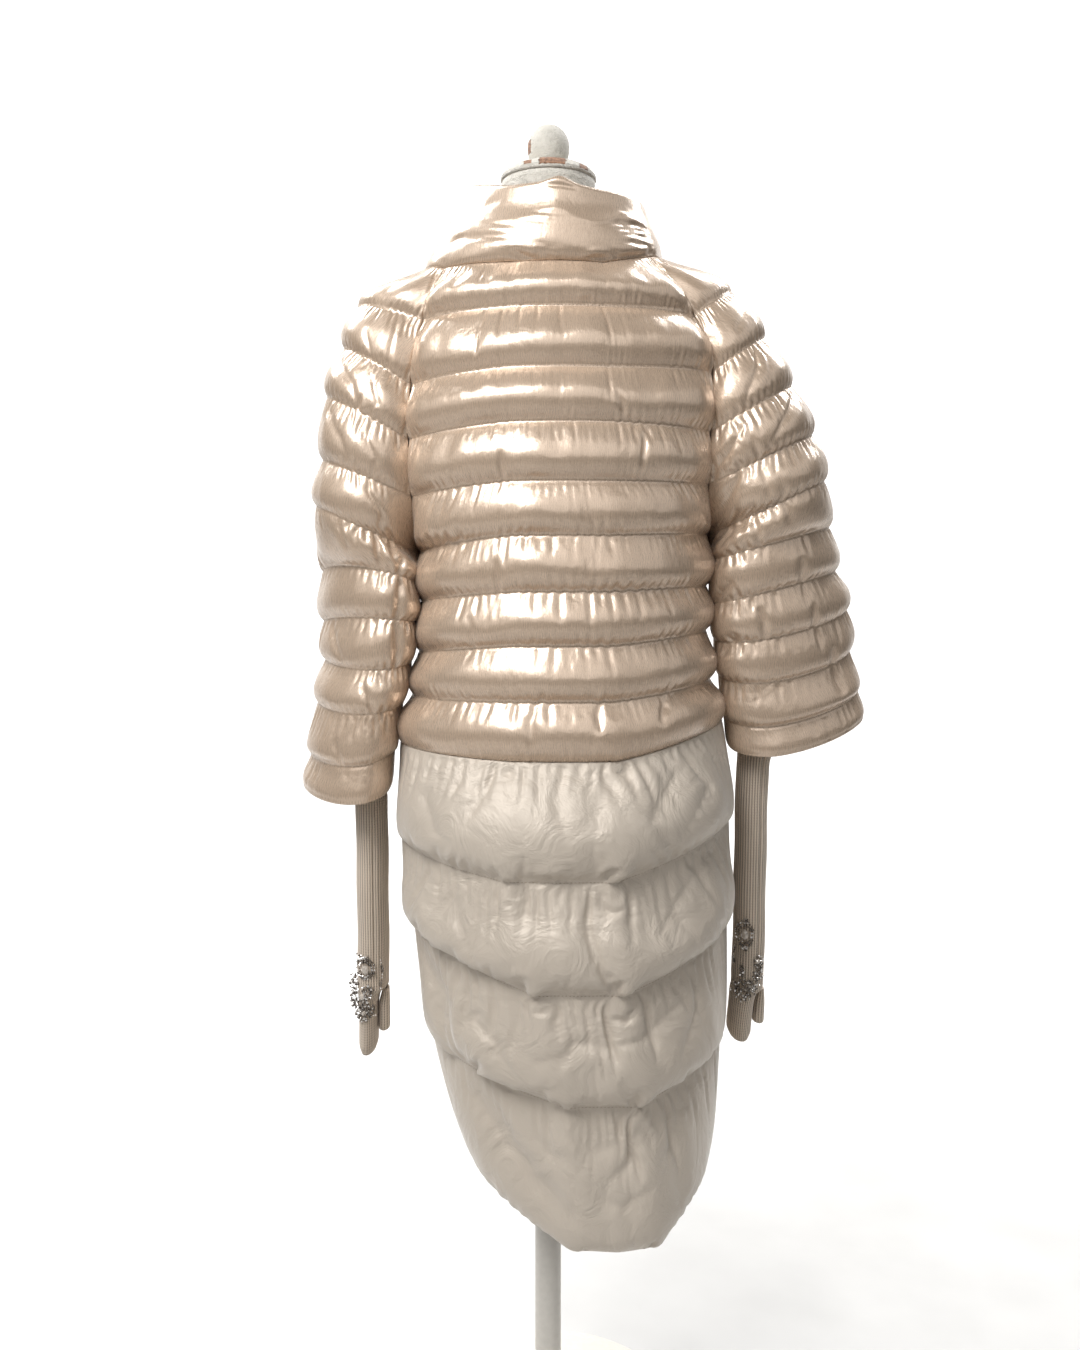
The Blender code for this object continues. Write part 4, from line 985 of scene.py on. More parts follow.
def cap_profile(radius, foot):
    """The neck cap: a low dome, a small round edge and a straight rim down to its foot."""
    return np.concatenate([
        np.column_stack([np.linspace(MIDDLE, radius * 0.4, 6), np.full(6, CAP_TOP)]),
        arc(0.0, CAP_RIM, radius - 0.002, CAP_TOP - CAP_RIM, 25, 80, 24),
        arc(radius - 0.003, CAP_RIM - 0.0015, 0.003, 0.003, 40, 90, 6),
        np.column_stack([np.full(4, radius), np.linspace(CAP_RIM - 0.003, foot + 0.0022, 4)]),
        [[radius - 0.0015, foot], [MIDDLE, foot]]])


def knob_profile(radius):
    """The knob: half an oval over a short neck that narrows to its foot on the cap."""
    foot = CAP_TOP + SEAM_GAP
    return np.concatenate([
        arc(0.0, KNOB_MIDDLE, radius, KNOB_TOP - KNOB_MIDDLE, 4, 90, 24),
        [[0.0244, 1.5455], [0.0240, 1.5415], [0.0232, 1.5380], [0.0222, 1.5345],
         [0.0211, 1.5320], [0.0200, foot + 0.0003], [0.0197, foot], [MIDDLE, foot]]])


def pole_profile(radius, top):
    """The pole: a cylinder with a 1 mm step at each end."""
    foot = BASE_TOP + SEAM_GAP
    pole = np.column_stack([np.full(24, radius), np.linspace(top, foot, 24)])
    return np.concatenate([[[MIDDLE, top], [radius - 0.001, top]], pole,
                           [[radius - 0.001, foot], [MIDDLE, foot]]])


def base_profile(radius):
    """The base: a round plate, thick at its middle, with a round edge."""
    return np.concatenate([
        [[MIDDLE, BASE_TOP], [0.029, BASE_TOP]], arc(0.029, 0.038, 0.003, 0.002, 20, 90, 4),
        [[0.034, 0.034], [0.038, 0.0322], [0.085, 0.027], [0.135, 0.024]],
        arc(0.150, 0.012, radius - 0.150, 0.010, 15, 150, 16), [[0.150, 0.0], [MIDDLE, 0.0]]])


def repeated(name, shape, faces, centres, frames, sizes, material, smooth_faces=False):
    """One mesh of a small shape repeated: each copy scaled, turned by its frame and moved.

    shape is the copy's points; frames hold three axes for each copy and sizes three scales.
    """
    points = np.einsum("nk,vk,nkj->nvj", sizes, shape, frames) + centres[:, None]
    index = np.arange(len(centres))[:, None, None] * len(shape) + np.asarray(faces)[None]
    return new_piece(name, points.reshape(-1, 3), index.reshape(-1, np.shape(faces)[1]).tolist(),
                     material, smooth_faces=smooth_faces)


def eight_sided(rings, top, bottom):
    """Points of a small solid: rings of eight, as radius, height and turn, then its two tips."""
    angle = np.arange(8) * np.pi / 4.0
    points = [np.column_stack([r * np.cos(angle + turn), r * np.sin(angle + turn), np.full(8, h)])
              for r, h, turn in rings]
    return np.concatenate(points + [[[0.0, 0.0, top], [0.0, 0.0, bottom]]])


def faceted_stone():
    """A cut stone: an eight-sided girdle of radius 1, a flat table above and a foot below."""
    points = eight_sided([(0.55, 1.0, np.pi / 8), (1.0, 0.25, 0.0), (0.75, -0.2, 0.0)], 1.0, -0.2)
    faces = []
    for j in range(8):
        k = (j + 1) % 8
        faces += [(24, j, k), (j, 8 + k, k), (j, 8 + j, 8 + k), (8 + j, 16 + j, 16 + k),
                  (8 + j, 16 + k, 8 + k), (25, 16 + k, 16 + j)]
    return points, faces


def round_bead():
    """A small round bead: a ball of four rings."""
    turns = [math.pi / 5 * k for k in range(1, 5)]
    points = eight_sided([(math.sin(a), math.cos(a), 0.0) for a in turns], 1.0, -1.0)
    faces = []
    for j in range(8):
        k = (j + 1) % 8
        faces += [(32, j, k), (33, 24 + k, 24 + j)]
        for ring in (0, 8, 16):
            faces += [(ring + j, ring + 8 + j, ring + 8 + k), (ring + j, ring + 8 + k, ring + k)]
    return points, faces


def stitch_shape():
    """One stitch: a thin body pointed at both ends, of half sizes 1."""
    points = np.array([[1, 0, 0], [0, 1, 0], [0, 0, 1], [0, -1, 0], [0, 0, -1], [-1, 0, 0]], float)
    faces = []
    for j in range(4):
        k = (j + 1) % 4
        faces.append((0, j + 1, k + 1))
    for j in range(4):
        k = (j + 1) % 4
        faces.append((5, k + 1, j + 1))
    return points, faces


def stitch_places(points, outward, stitch):
    """The middles of the stitches along a quilting line, and their axes along, across and out."""
    length = run_of(points)
    places = np.arange(stitch, length[-1] - stitch, stitch * STITCH_PITCH)
    centre, out = (columns_at(places, length, values) for values in (points, outward))
    along = columns_at(places + 0.001, length, points) - centre
    along /= np.linalg.norm(along, axis=1, keepdims=True)
    out -= (out * along).sum(1, keepdims=True) * along
    out /= np.linalg.norm(out, axis=1, keepdims=True)
    return centre + STITCH_LIFT * out, np.stack([along, np.cross(out, along), out], axis=1)


def on_knit(table, z, across):
    """Points on the back of a glove, and the axes across, along and out of it there."""
    row = curve_through(table[::-1], TUBE_COLUMNS, z)
    angle = np.arcsin(np.clip(across, -0.95, 0.95))
    x = row["x"] + row["x_half"] * np.sin(angle)
    y = -row["y_half"] * np.cos(angle)
    out = np.stack([np.sin(angle) / row["x_half"], -np.cos(angle) / row["y_half"], 0 * angle], -1)
    out /= np.linalg.norm(out, axis=-1, keepdims=True)
    up = np.zeros_like(out)
    up[..., 2] = 1.0
    side = np.cross(up, out)
    return np.stack([x, y, z], -1), np.stack([side, up, out], axis=-2)


def ring_of(z, across, z_half, across_half, count, start=0.0):
    """Places round an oval, evenly turned."""
    turn = start + np.arange(count) * 2.0 * np.pi / count
    return np.column_stack([z + z_half * np.cos(turn), across + across_half * np.sin(turn)])


def row_of(places, count):
    """Places along a bent row, evenly spaced."""
    share = np.linspace(0.0, len(places) - 1.0, count)
    return columns_at(share, np.arange(len(places)), places)


def patch_of(z, across, z_half, across_half, count, seed):
    """Places scattered evenly over an oval: a sunflower's spiral, each nudged at random."""
    k = np.arange(count) + 0.5
    turn = k * GOLDEN_ANGLE
    reach = np.sqrt(k / count)
    nudge = np.random.default_rng(seed).normal(size=(count, 2)) * 0.09
    return np.column_stack([z + z_half * (reach * np.cos(turn) + nudge[:, 0]),
                            across + across_half * (reach * np.sin(turn) + nudge[:, 1])])


GOLDEN_ANGLE = 2.39996     # between one place of a sunflower's spiral and the next
# The three stones of each glove: place on the knit, then half sizes across, along and out of it
LARGE_STONES = {
    "left": ((0.580, -0.25, 0.0052, 0.0060, 0.0036), (0.547, -0.25, 0.0036, 0.0044, 0.0030),
             (0.528, -0.10, 0.0034, 0.0034, 0.0030)),
    "right": ((0.622, -0.45, 0.0052, 0.0066, 0.0036), (0.590, 0.25, 0.0034, 0.0034, 0.0030),
              (0.558, -0.16, 0.0036, 0.0044, 0.0030)),
}
# Beads: z, across, half height, half width and count of each ring; the same and how far each
# patch is heaped up; count and places of each row
BEAD_RINGS = {
    "left": ((0.581, -0.28, 0.0125, 0.56, 22), (0.580, -0.27, 0.0092, 0.40, 16)),
    "right": ((0.622, -0.45, 0.0150, 0.44, 22), (0.622, -0.45, 0.0105, 0.34, 14)),
}
BEAD_PATCHES = {
    "left": ((0.5935, -0.45, 0.0035, 0.45, 14, 0.0010), (0.5500, -0.90, 0.0210, 0.20, 84, 0.0075),
             (0.5500, -0.10, 0.0110, 0.40, 44, 0.0020), (0.5290, -0.25, 0.0110, 0.95, 96, 0.0034)),
    "right": ((0.6380, -0.45, 0.0030, 0.16, 7, 0.0010), (0.6050, -0.42, 0.0030, 0.14, 7, 0.0010),
              (0.5890, 0.36, 0.0080, 0.30, 26, 0.0020), (0.5740, 0.30, 0.0080, 0.34, 28, 0.0020),
              (0.5770, -0.55, 0.0065, 0.13, 12, 0.0010), (0.5560, -0.28, 0.0125, 0.62, 84, 0.0034)),
}
BEAD_ROWS = {
    "left": ((12, (0.572, -0.85), (0.570, -0.35), (0.577, 0.20)),
             (11, (0.590, 0.60), (0.578, 0.68), (0.566, 0.66), (0.556, 0.58))),
    "right": ((8, (0.604, -0.92), (0.594, -0.96), (0.584, -0.93)),),
}


def bead_places(side):
    """Every small bead of a glove: z, across, how far it is heaped up, and its radius."""
    rng = np.random.default_rng(71 if side == "left" else 72)
    places = [ring_of(*row) for row in BEAD_RINGS[side]]
    places += [row_of(row[1:], row[0]) for row in BEAD_ROWS[side]]
    lifts = [np.zeros(len(part)) for part in places]
    for seed, (*oval, count, heap) in enumerate(BEAD_PATCHES[side], start=81):
        places.append(patch_of(*oval, count, seed))
        lifts.append(heap * rng.random(count))
    places, lifts = np.concatenate(places), np.concatenate(lifts)
    return np.column_stack([places, lifts, 0.0010 + 0.0009 * rng.random(len(places)) ** 1.5])


def creased(line, across, creases, line_size, across_size):
    """Listed folds: each a soft trough or ridge along a bent line of the cloth.

    A row has its half width and height in metres, then its places as line and across.
    """
    total = np.zeros(line.shape)
    y, x = line * line_size, across * across_size
    for half_width, height, *places in creases:
        nearest = np.full(line.shape, np.inf)
        along = np.zeros(line.shape)
        ends = [(place[0] * line_size, place[1] * across_size) for place in places]
        for number, ((y0, x0), (y1, x1)) in enumerate(zip(ends, ends[1:])):
            reach = (y1 - y0) ** 2 + (x1 - x0) ** 2
            share = np.clip(((y - y0) * (y1 - y0) + (x - x0) * (x1 - x0)) / reach, 0.0, 1.0)
            apart = np.hypot(y - y0 - share * (y1 - y0), x - x0 - share * (x1 - x0))
            closer = apart < nearest
            along = np.where(closer, (number + share) / (len(places) - 1), along)
            nearest = np.minimum(apart, nearest)
        fade = np.sin(np.pi * (0.12 + 0.76 * along)) ** 0.5
        total += height * fade * np.exp(-(nearest / half_width) ** 2)
    return total


# ---------------------------------------------------------------- materials

# Chips in the form's paint: middle and half sizes
CHIPS = (
    ((0.004, -0.0510, 1.5190), (0.0150, 0.0100, 0.0066)),
    ((-0.024, -0.0470, 1.5170), (0.0045, 0.0080, 0.0030)),
    ((0.040, -0.0370, 1.5150), (0.0050, 0.0080, 0.0034)),
    ((-0.0236, -0.0060, 1.5470), (0.0030, 0.0100, 0.0075)),
    ((0.010, 0.0500, 1.5200), (0.0100, 0.0080, 0.0040)),
)


def add_node(tree, kind, inputs=None, **settings):
    """A node with its settings, and its inputs set to values or linked from other sockets."""
    node = tree.nodes.new(kind)
    for name, value in settings.items():
        setattr(node, name, value)
    for name, value in (inputs or {}).items():
        if isinstance(value, bpy.types.NodeSocket):
            tree.links.new(value, node.inputs[name])
        else:
            node.inputs[name].default_value = value
    return node


def maths(tree, operation, *values):
    """The output of a Math node over values or sockets."""
    return add_node(tree, "ShaderNodeMath", dict(enumerate(values)), operation=operation).outputs[0]


def scaled(tree, vector, scale):
    """A vector multiplied by another, axis by axis."""
    return add_node(tree, "ShaderNodeVectorMath", {0: vector, 1: scale},
                    operation="MULTIPLY").outputs["Vector"]


def noise(tree, vector, scale, detail, roughness=0.5, distortion=0.0):
    """A noise over a vector, about 0.5."""
    return add_node(tree, "ShaderNodeTexNoise", {
        "Vector": vector, "Scale": scale, "Detail": detail, "Roughness": roughness,
        "Distortion": distortion}).outputs["Fac"]


def ranged(tree, value, low, high, to_low=0.0, to_high=1.0):
    """A value moved from one range to another, and kept inside it."""
    return add_node(tree, "ShaderNodeMapRange", {
        "Value": value, "From Min": low, "From Max": high, "To Min": to_low,
        "To Max": to_high}).outputs["Result"]


def bumped(tree, height, strength, distance, **normal):
    """A normal tilted by a height."""
    return add_node(tree, "ShaderNodeBump", {"Height": height, "Strength": strength,
                                             "Distance": distance, **normal}).outputs["Normal"]


def blend(tree, factor, first, second):
    """The output of a colour Mix node between two colours, each a value or a socket."""
    mix = tree.nodes.new("ShaderNodeMix")
    mix.data_type = "RGBA"
    tree.links.new(factor, mix.inputs[0])
    for socket, value in ((mix.inputs[6], first), (mix.inputs[7], second)):
        if isinstance(value, bpy.types.NodeSocket):
            tree.links.new(value, socket)
        else:
            socket.default_value = (*value, 1.0)
    return mix.outputs[2]


def new_finish(name, **values):
    """A Principled material with values set on its shader, and its node tree."""
    material = bpy.data.materials.new(name)
    material.use_nodes = True
    tree = material.node_tree
    for socket, value in values.items():
        tree.nodes["Principled BSDF"].inputs[socket.replace("_", " ")].default_value = value
    return material, tree


def spaces(tree):
    """The UV map's, the object's and other coordinates of a point."""
    return add_node(tree, "ShaderNodeTexCoord").outputs


def feed(tree, **sources):
    """Links sources to the shader's sockets."""
    for socket, source in sources.items():
        tree.links.new(source, tree.nodes["Principled BSDF"].inputs[socket.replace("_", " ")])


def tinted(colour, *shares):
    """A colour with each of its parts multiplied by a share, or all of them by one."""
    return tuple(value * share for value, share in zip(colour, shares * (3 // len(shares))))


def new_group(name, inputs, outputs):
    """A shader node group of plain numbers: its inputs with their defaults, and its outputs."""
    tree = bpy.data.node_groups.new(name, "ShaderNodeTree")
    for in_out, labels in (("INPUT", inputs), ("OUTPUT", outputs)):
        for label in labels:
            tree.interface.new_socket(name=label, in_out=in_out, socket_type="NodeSocketFloat")
    for socket in tree.interface.items_tree:
        if socket.name in inputs:
            socket.default_value = inputs[socket.name]
    return tree, tree.nodes.new("NodeGroupInput"), tree.nodes.new("NodeGroupOutput")


def cloth_surface():
    """Group: fine warp streaks and slubs of a woven cloth, in metres of its UV map.

    The height is a noise stretched along the warp plus a finer one along the weft. Crinkle is a
    coarser noise drawn out down the cloth, and Crumple one of every direction.
    """
    if "Cloth surface" in bpy.data.node_groups:
        return bpy.data.node_groups["Cloth surface"]
    tree, given, result = new_group("Cloth surface", {"Threads": 900.0, "Length": 60.0},
                                    ("Height", "Slub", "Blotch", "Crinkle", "Crumple"))
    space = spaces(tree)
    threads, length = given.outputs["Threads"], given.outputs["Length"]
    warp, weft = (add_node(tree, "ShaderNodeCombineXYZ", {"X": x, "Y": y, "Z": 1.0}).outputs[0]
                  for x, y in ((threads, length), (length, threads)))
    streak = noise(tree, scaled(tree, space["UV"], warp), 1.0, 2.0, 0.6)
    slub = noise(tree, scaled(tree, space["UV"], weft), 1.0, 1.0)
    drawn = scaled(tree, space["UV"], (120.0, 40.0, 1.0))
    for label, source in (("Height", maths(tree, "MULTIPLY_ADD", slub, 0.35, streak)),
                          ("Slub", streak),
                          ("Blotch", noise(tree, space["Object"], 9.0, 3.0, 0.55)),
                          ("Crinkle", noise(tree, drawn, 1.0, 3.0, 0.55)),
                          ("Crumple", noise(tree, space["Object"], 24.0, 4.0, 0.55, 1.2))):
        tree.links.new(source, result.inputs[label])
    return tree


STREAK = 14.0              # the length of a warp streak in its own widths


def cloth_material(name, colour, shade, roughness, metallic, sheen, threads, depth, crinkle,
                   crumple, anisotropic=0.0, coat=0.0, bending=1.5):
    """A woven cloth: two near colours in soft blotches, warp streaks in its gloss and its bump.

    crinkle and crumple are the depths of its small folds, in metres; bending is its index of
    refraction, which sets how strong its uncoloured gloss is.
    """
    material, tree = new_finish(
        name, Metallic=metallic, Sheen_Weight=sheen, Sheen_Roughness=0.4, Anisotropic=anisotropic,
        Coat_Weight=coat, Coat_Roughness=0.3, IOR=bending)
    cloth = add_node(tree, "ShaderNodeGroup", {"Threads": threads, "Length": threads / STREAK},
                     node_tree=cloth_surface()).outputs
    folds = maths(tree, "MULTIPLY_ADD", cloth["Crumple"], crumple,
                  maths(tree, "MULTIPLY", cloth["Crinkle"], crinkle))
    folded = bumped(tree, folds, 1.0, 1.0)
    feed(tree, Base_Color=blend(tree, cloth["Blotch"], colour, shade),
         Roughness=ranged(tree, cloth["Slub"], 0.3, 0.7, roughness - 0.03, roughness + 0.03),
         Normal=bumped(tree, cloth["Height"], 0.5, depth, Normal=folded))
    if anisotropic:
        feed(tree, Tangent=add_node(tree, "ShaderNodeTangent", direction_type="UV_MAP",
                                    uv_map="cloth").outputs["Tangent"])
    return material


def knit_material(name, colour, shade):
    """Ribbed knitting: a leaning stitch on each side of a rib, with shade painted between ribs and
    between stitches.

    UV counts ribs along u and metres along v; the stitches are a sine along v, moved on by the
    distance from the rib's middle so that they lean into a V.
    """
    material, tree = new_finish(name, Roughness=0.85, Sheen_Weight=0.25, Sheen_Roughness=0.5)
    space = spaces(tree)
    place = add_node(tree, "ShaderNodeSeparateXYZ", {"Vector": space["UV"]}).outputs
    half = maths(tree, "PINGPONG", place["X"], 0.5)
    lean = maths(tree, "MULTIPLY_ADD", half, 9.0, 0.0)
    stitch = maths(tree, "SINE", maths(tree, "MULTIPLY_ADD", place["Y"], 1950.0, lean))
    fuzz = noise(tree, space["Object"], 900.0, 2.0)
    height = maths(tree, "MULTIPLY_ADD", stitch, 0.5, fuzz)
    # Painted shade: the colour darkens to the shade colour in the grooves between the ribs and
    # between the stitches, where shadow falls, and is lightest on the stitches' crests.
    bright = maths(tree, "MULTIPLY_ADD", height, 0.35, ranged(tree, half, 0.5, 0.15))
    wear = noise(tree, space["Object"], 14.0, 3.0)
    factor = ranged(tree, maths(tree, "MULTIPLY_ADD", wear, 0.4, bright), 0.2, 1.3)
    feed(tree, Base_Color=blend(tree, factor, shade, colour),
         Normal=bumped(tree, height, 0.7, 0.0004))
    return material


def paint_material(name, colour, valley_colour, wood):
    """Old brushed paint, wrinkled like hide, with a few chips down to brown wood at the cap's rim.

    The wrinkles are a bent noise; a chip is a box about its place, ragged by a finer noise.
    """
    material, tree = new_finish(name)
    space = spaces(tree)["Object"]
    flat = add_node(tree, "ShaderNodeMapping", {"Vector": space, "Scale": (1.0, 1.0, 1.5)})
    wrinkle = noise(tree, flat.outputs["Vector"], 170.0, 5.0, 0.62, 1.4)
    # The colour is darker in the valleys of the wrinkles.
    valley = ranged(tree, wrinkle, 0.47, 0.33, 0.0, 0.8)
    flake = noise(tree, space, 260.0, 3.0)
    chipped = None
    for place, halves in CHIPS:
        scale = [1.0 / half for half in halves]
        near = add_node(tree, "ShaderNodeMapping", {
            "Vector": space, "Scale": scale, "Location": [-p * k for p, k in zip(place, scale)]})
        away = add_node(tree, "ShaderNodeVectorMath", {0: near.outputs["Vector"]},
                        operation="ABSOLUTE")
        sides = add_node(tree, "ShaderNodeSeparateXYZ", {"Vector": away.outputs["Vector"]}).outputs
        box = maths(tree, "MAXIMUM", maths(tree, "MAXIMUM", sides["X"], sides["Y"]), sides["Z"])
        chip = ranged(tree, maths(tree, "MULTIPLY_ADD", flake, 0.5, box), 1.27, 1.21)
        chipped = chip if chipped is None else maths(tree, "MAXIMUM", chipped, chip)
    stain = noise(tree, space, 16.0, 3.0)
    painted = blend(tree, stain, colour, tinted(colour, 0.88))
    timber = blend(tree, ranged(tree, flake, 0.4, 0.6), wood, tinted(wood, 1.9))
    surface = maths(tree, "MULTIPLY_ADD", chipped, -0.8, wrinkle)
    feed(tree, Base_Color=blend(tree, chipped, blend(tree, valley, painted, valley_colour), timber),
         Roughness=ranged(tree, stain, 0.0, 1.0, 0.5, 0.7),
         Normal=bumped(tree, surface, 0.9, 0.0030))
    return material


def plain_material(name, colour, roughness, metallic=0.0, grain=60.0, depth=0.0001, **more):
    """A plain surface with a fine uneven grain in its gloss and its bump."""
    material, tree = new_finish(name, Metallic=metallic, **more)
    uneven = noise(tree, spaces(tree)["Object"], grain, 3.0)
    feed(tree, Base_Color=blend(tree, uneven, colour, tinted(colour, 0.85)),
         Roughness=ranged(tree, uneven, 0.3, 0.7, roughness * 0.85, min(1.0, roughness * 1.15)),
         Normal=bumped(tree, uneven, 0.4, depth))
    return material


def kept(name, make, *values, **more):
    """A finish that several pieces share: made once."""
    return bpy.data.materials.get(name) or make(name, *values, **more)


def satin(settings):
    """The satin of the body, the sleeves and the collar."""
    colour = tuple(settings.satin_colour)
    return kept("champagne satin", cloth_material, colour, tinted(colour, 0.93, 0.90, 0.87),
                settings.satin_roughness, settings.satin_metal, sheen=0.1, threads=1400.0,
                depth=0.00005, crinkle=0.0004, crumple=0.0009, anisotropic=0.3, coat=0.2,
                bending=1.9)


def skirt_cloth(settings):
    """The skirt's matter cloth."""
    colour = tuple(settings.skirt_colour)
    return kept("stone cloth", cloth_material, colour, tinted(colour, 0.90, 0.89, 0.88),
                settings.skirt_roughness, settings.skirt_metal, sheen=0.3, threads=1800.0,
                depth=0.0001, crinkle=0.0001, crumple=0.0045)


def form_paint(settings):
    """The old paint of the form, its cap and its knob."""
    colour = tuple(settings.paint_colour)
    # The second colour is the darker one laid into the wrinkles' valleys.
    return kept("old white paint", paint_material, colour, tinted(colour, 0.72),
                tuple(settings.wood_colour))


# ---------------------------------------------------------------- settings

def colour_setting(name, description, default):
    """A colour that a user may change."""
    return bpy.props.FloatVectorProperty(name=name, description=description, subtype="COLOR",
                                         size=3, min=0.0, max=1.0, default=default)


def length_setting(name, description, default):
    """A length in metres that a user may change."""
    return bpy.props.FloatProperty(name=name, description=description, unit="LENGTH", min=0.0,
                                   precision=4, default=default)


def share_setting(name, description, default):
    """A share from 0 to 1 that a user may change."""
    return bpy.props.FloatProperty(name=name, description=description, subtype="FACTOR", min=0.0,
                                   max=1.0, default=default)


def power_setting(name, description, default):
    """A light's power in watts that a user may change."""
    return bpy.props.FloatProperty(name=name, description=description, subtype="POWER", min=0.0,
                                   default=default)


class CoatCloth(bpy.types.PropertyGroup):
    """Colours and sizes of the coat's cloth"""
    satin_colour: colour_setting("Satin", "Colour of the body's and sleeves' cloth",
                                 (0.565, 0.435, 0.325))
    satin_roughness: share_setting("Satin roughness", "How dull the satin is", 0.28)
    satin_metal: share_setting("Satin lustre", "How much of the satin's gloss is coloured", 0.32)
    skirt_colour: colour_setting("Skirt", "Colour of the skirt's cloth", (0.57, 0.50, 0.42))
    skirt_roughness: share_setting("Skirt roughness", "How dull the skirt is", 0.50)
    skirt_metal: share_setting("Skirt lustre", "How much of the skirt's gloss is coloured", 0.12)
    thread_colour: colour_setting("Thread", "Colour of the stitching", (0.42, 0.32, 0.23))
    body_fill: length_setting("Body fill", "How far the body's channels stand out", 0.010)
    sleeve_fill: length_setting("Sleeve fill", "How far the sleeves' channels stand out", 0.0068)
    skirt_fill: length_setting("Skirt fill", "How far the skirt's channels stand out", 0.018)
    collar_fill: length_setting("Collar fill", "How far the collar stands out", 0.0115)
    wall: length_setting("Wall", "Cloth and lining where they are stitched down", 0.0025)
    collar_wall: length_setting("Collar wall", "Cloth and lining of the collar", 0.004)
    gather: share_setting("Gather", "Spare width of the satin, which puckers at the stitching",
                          0.018)
    skirt_gather: share_setting("Skirt gather", "Spare width of the skirt's cloth", 0.008)
    stitch: length_setting("Stitch", "Length of one stitch", 0.0030)
    thread: length_setting("Thread width", "Half the width of the stitching thread", 0.00035)


class CoatKnit(bpy.types.PropertyGroup):
    """Colours and sizes of the gloves, and colours of their stones"""
    colour: colour_setting("Yarn", "Colour of the gloves' yarn", (0.62, 0.52, 0.42))
    # The yarn shade is painted shade: the dark colour laid into the grooves between ribs and
    # stitches, where shadow falls.
    shade: colour_setting("Yarn shade", "Colour between the ribs", (0.11, 0.083, 0.062))
    rib_height: length_setting("Rib height", "The ribs over the grooves between them", 0.0009)
    wall: length_setting("Wall", "Thickness of the knitting", 0.0016)
    ribs: bpy.props.IntProperty(name="Ribs", description="Ribs round a glove", min=8, default=36)
    stone_colour: colour_setting("Stone", "Colour of the large clear stones", (0.52, 0.46, 0.40))
    crystal_colour: colour_setting("Crystal", "Colour of the small cut crystals",
                                   (0.80, 0.77, 0.74))
    bead_colour: colour_setting("Bead", "Colour of the small dark beads", (0.20, 0.175, 0.155))


class CoatForm(bpy.types.PropertyGroup):
    """Colours and sizes of the dress form and its stand"""
    paint_colour: colour_setting("Paint", "Colour of the form's old paint", (0.68, 0.645, 0.575))
    wood_colour: colour_setting("Wood", "Colour of the wood under the paint", (0.20, 0.105, 0.06))
    metal_colour: colour_setting("Stand", "Colour of the pole and base", (0.62, 0.59, 0.54))
    cap_radius: length_setting("Cap radius", "Radius of the neck's cap", 0.056)
    finial_radius: length_setting("Knob radius", "Radius of the knob on the cap", 0.0245)
    pole_radius: length_setting("Pole radius", "Radius of the stand's pole", 0.016)
    base_radius: length_setting("Base radius", "Radius of the stand's base", 0.165)


class CoatStage(bpy.types.PropertyGroup):
    """Floor, lights and lens"""
    floor_colour: colour_setting("Floor", "Colour of the floor and the sweep behind",
                                 (0.56, 0.555, 0.545))
    key_power: power_setting("Key light", "Power of the light above", 62.0)
    front_power: power_setting("Front light", "Power of the wide light over the camera", 32.0)
    side_power: power_setting("Side lights", "Power of the side lights", 10.0)
    backdrop_power: power_setting("Backdrop lights", "Power of the lights on the sweep behind",
                                  200.0)
    sky: share_setting("Sky", "Strength of the light from all round", 0.03)
    lens: bpy.props.FloatProperty(name="Lens", description="Focal length of the camera", min=10.0,
                                  default=33.33, subtype="DISTANCE_CAMERA")


# ---------------------------------------------------------------- pieces

class COAT_OT_body(bpy.types.Operator):
    """Sew the quilted back and the two fronts"""
    bl_idname = "coat.body"
    bl_label = "Back and fronts"

    def execute(self, context):
        """Sews them."""
        cloth = context.scene.coat_cloth
        sewn_round(("back_panel", "front_panel_left", "front_panel_right"), 0, WAIST_LINE, 11,
                   BACK_CREASES, 0.15, per_channel=BODY_ROWS, fill=cloth.body_fill,
                   gather=cloth.gather, material=satin(cloth), slot="champagne_satin",
                   wall=cloth.wall)
        return {"FINISHED"}


class COAT_OT_skirt(bpy.types.Operator):
    """Sew the quilted skirt's back and its two fronts"""
    bl_idname = "coat.skirt"
    bl_label = "Skirt"

    def execute(self, context):
        """Sews them."""
        cloth = context.scene.coat_cloth
        sewn_round(("skirt_back", "skirt_front_left", "skirt_front_right"), WAIST_LINE, HEM_LINE,
                   21, SKIRT_CREASES + waist_gathers(), 0.0, per_channel=SKIRT_ROWS,
                   fill=cloth.skirt_fill, gather=cloth.skirt_gather, material=skirt_cloth(cloth),
                   slot="stone_cloth", wall=cloth.wall, ripple=0.0005, bend=0.6,
                   pressure=1.4e-5, lumps=0.15)
        return {"FINISHED"}


class COAT_OT_sleeves(bpy.types.Operator):
    """Sew the two quilted sleeves"""
    bl_idname = "coat.sleeves"
    bl_label = "Sleeves"

    def execute(self, context):
        """Sews them."""
        cloth = context.scene.coat_cloth
        for name, table, side, seed, folds in (
                ("sleeve_left", SLEEVE_LEFT, -1, 31, SLEEVE_LEFT_CREASES),
                ("sleeve_right", SLEEVE_RIGHT, 1, 32, SLEEVE_RIGHT_CREASES)):
            sleeve_piece(name, table, side, cloth.sleeve_fill, cloth.gather, seed, satin(cloth),
                         cloth.wall, folds + on_front(folds, 0.3))
        return {"FINISHED"}


class COAT_OT_collar(bpy.types.Operator):
    """Sew the padded stand collar"""
    bl_idname = "coat.collar"
    bl_label = "Collar"

    def execute(self, context):
        """Sews it."""
        cloth = context.scene.coat_cloth
        collar_piece("collar", *COLLAR_GRID, cloth.collar_fill, COLLAR_GATHER, satin(cloth),
                     cloth.collar_wall)
        return {"FINISHED"}


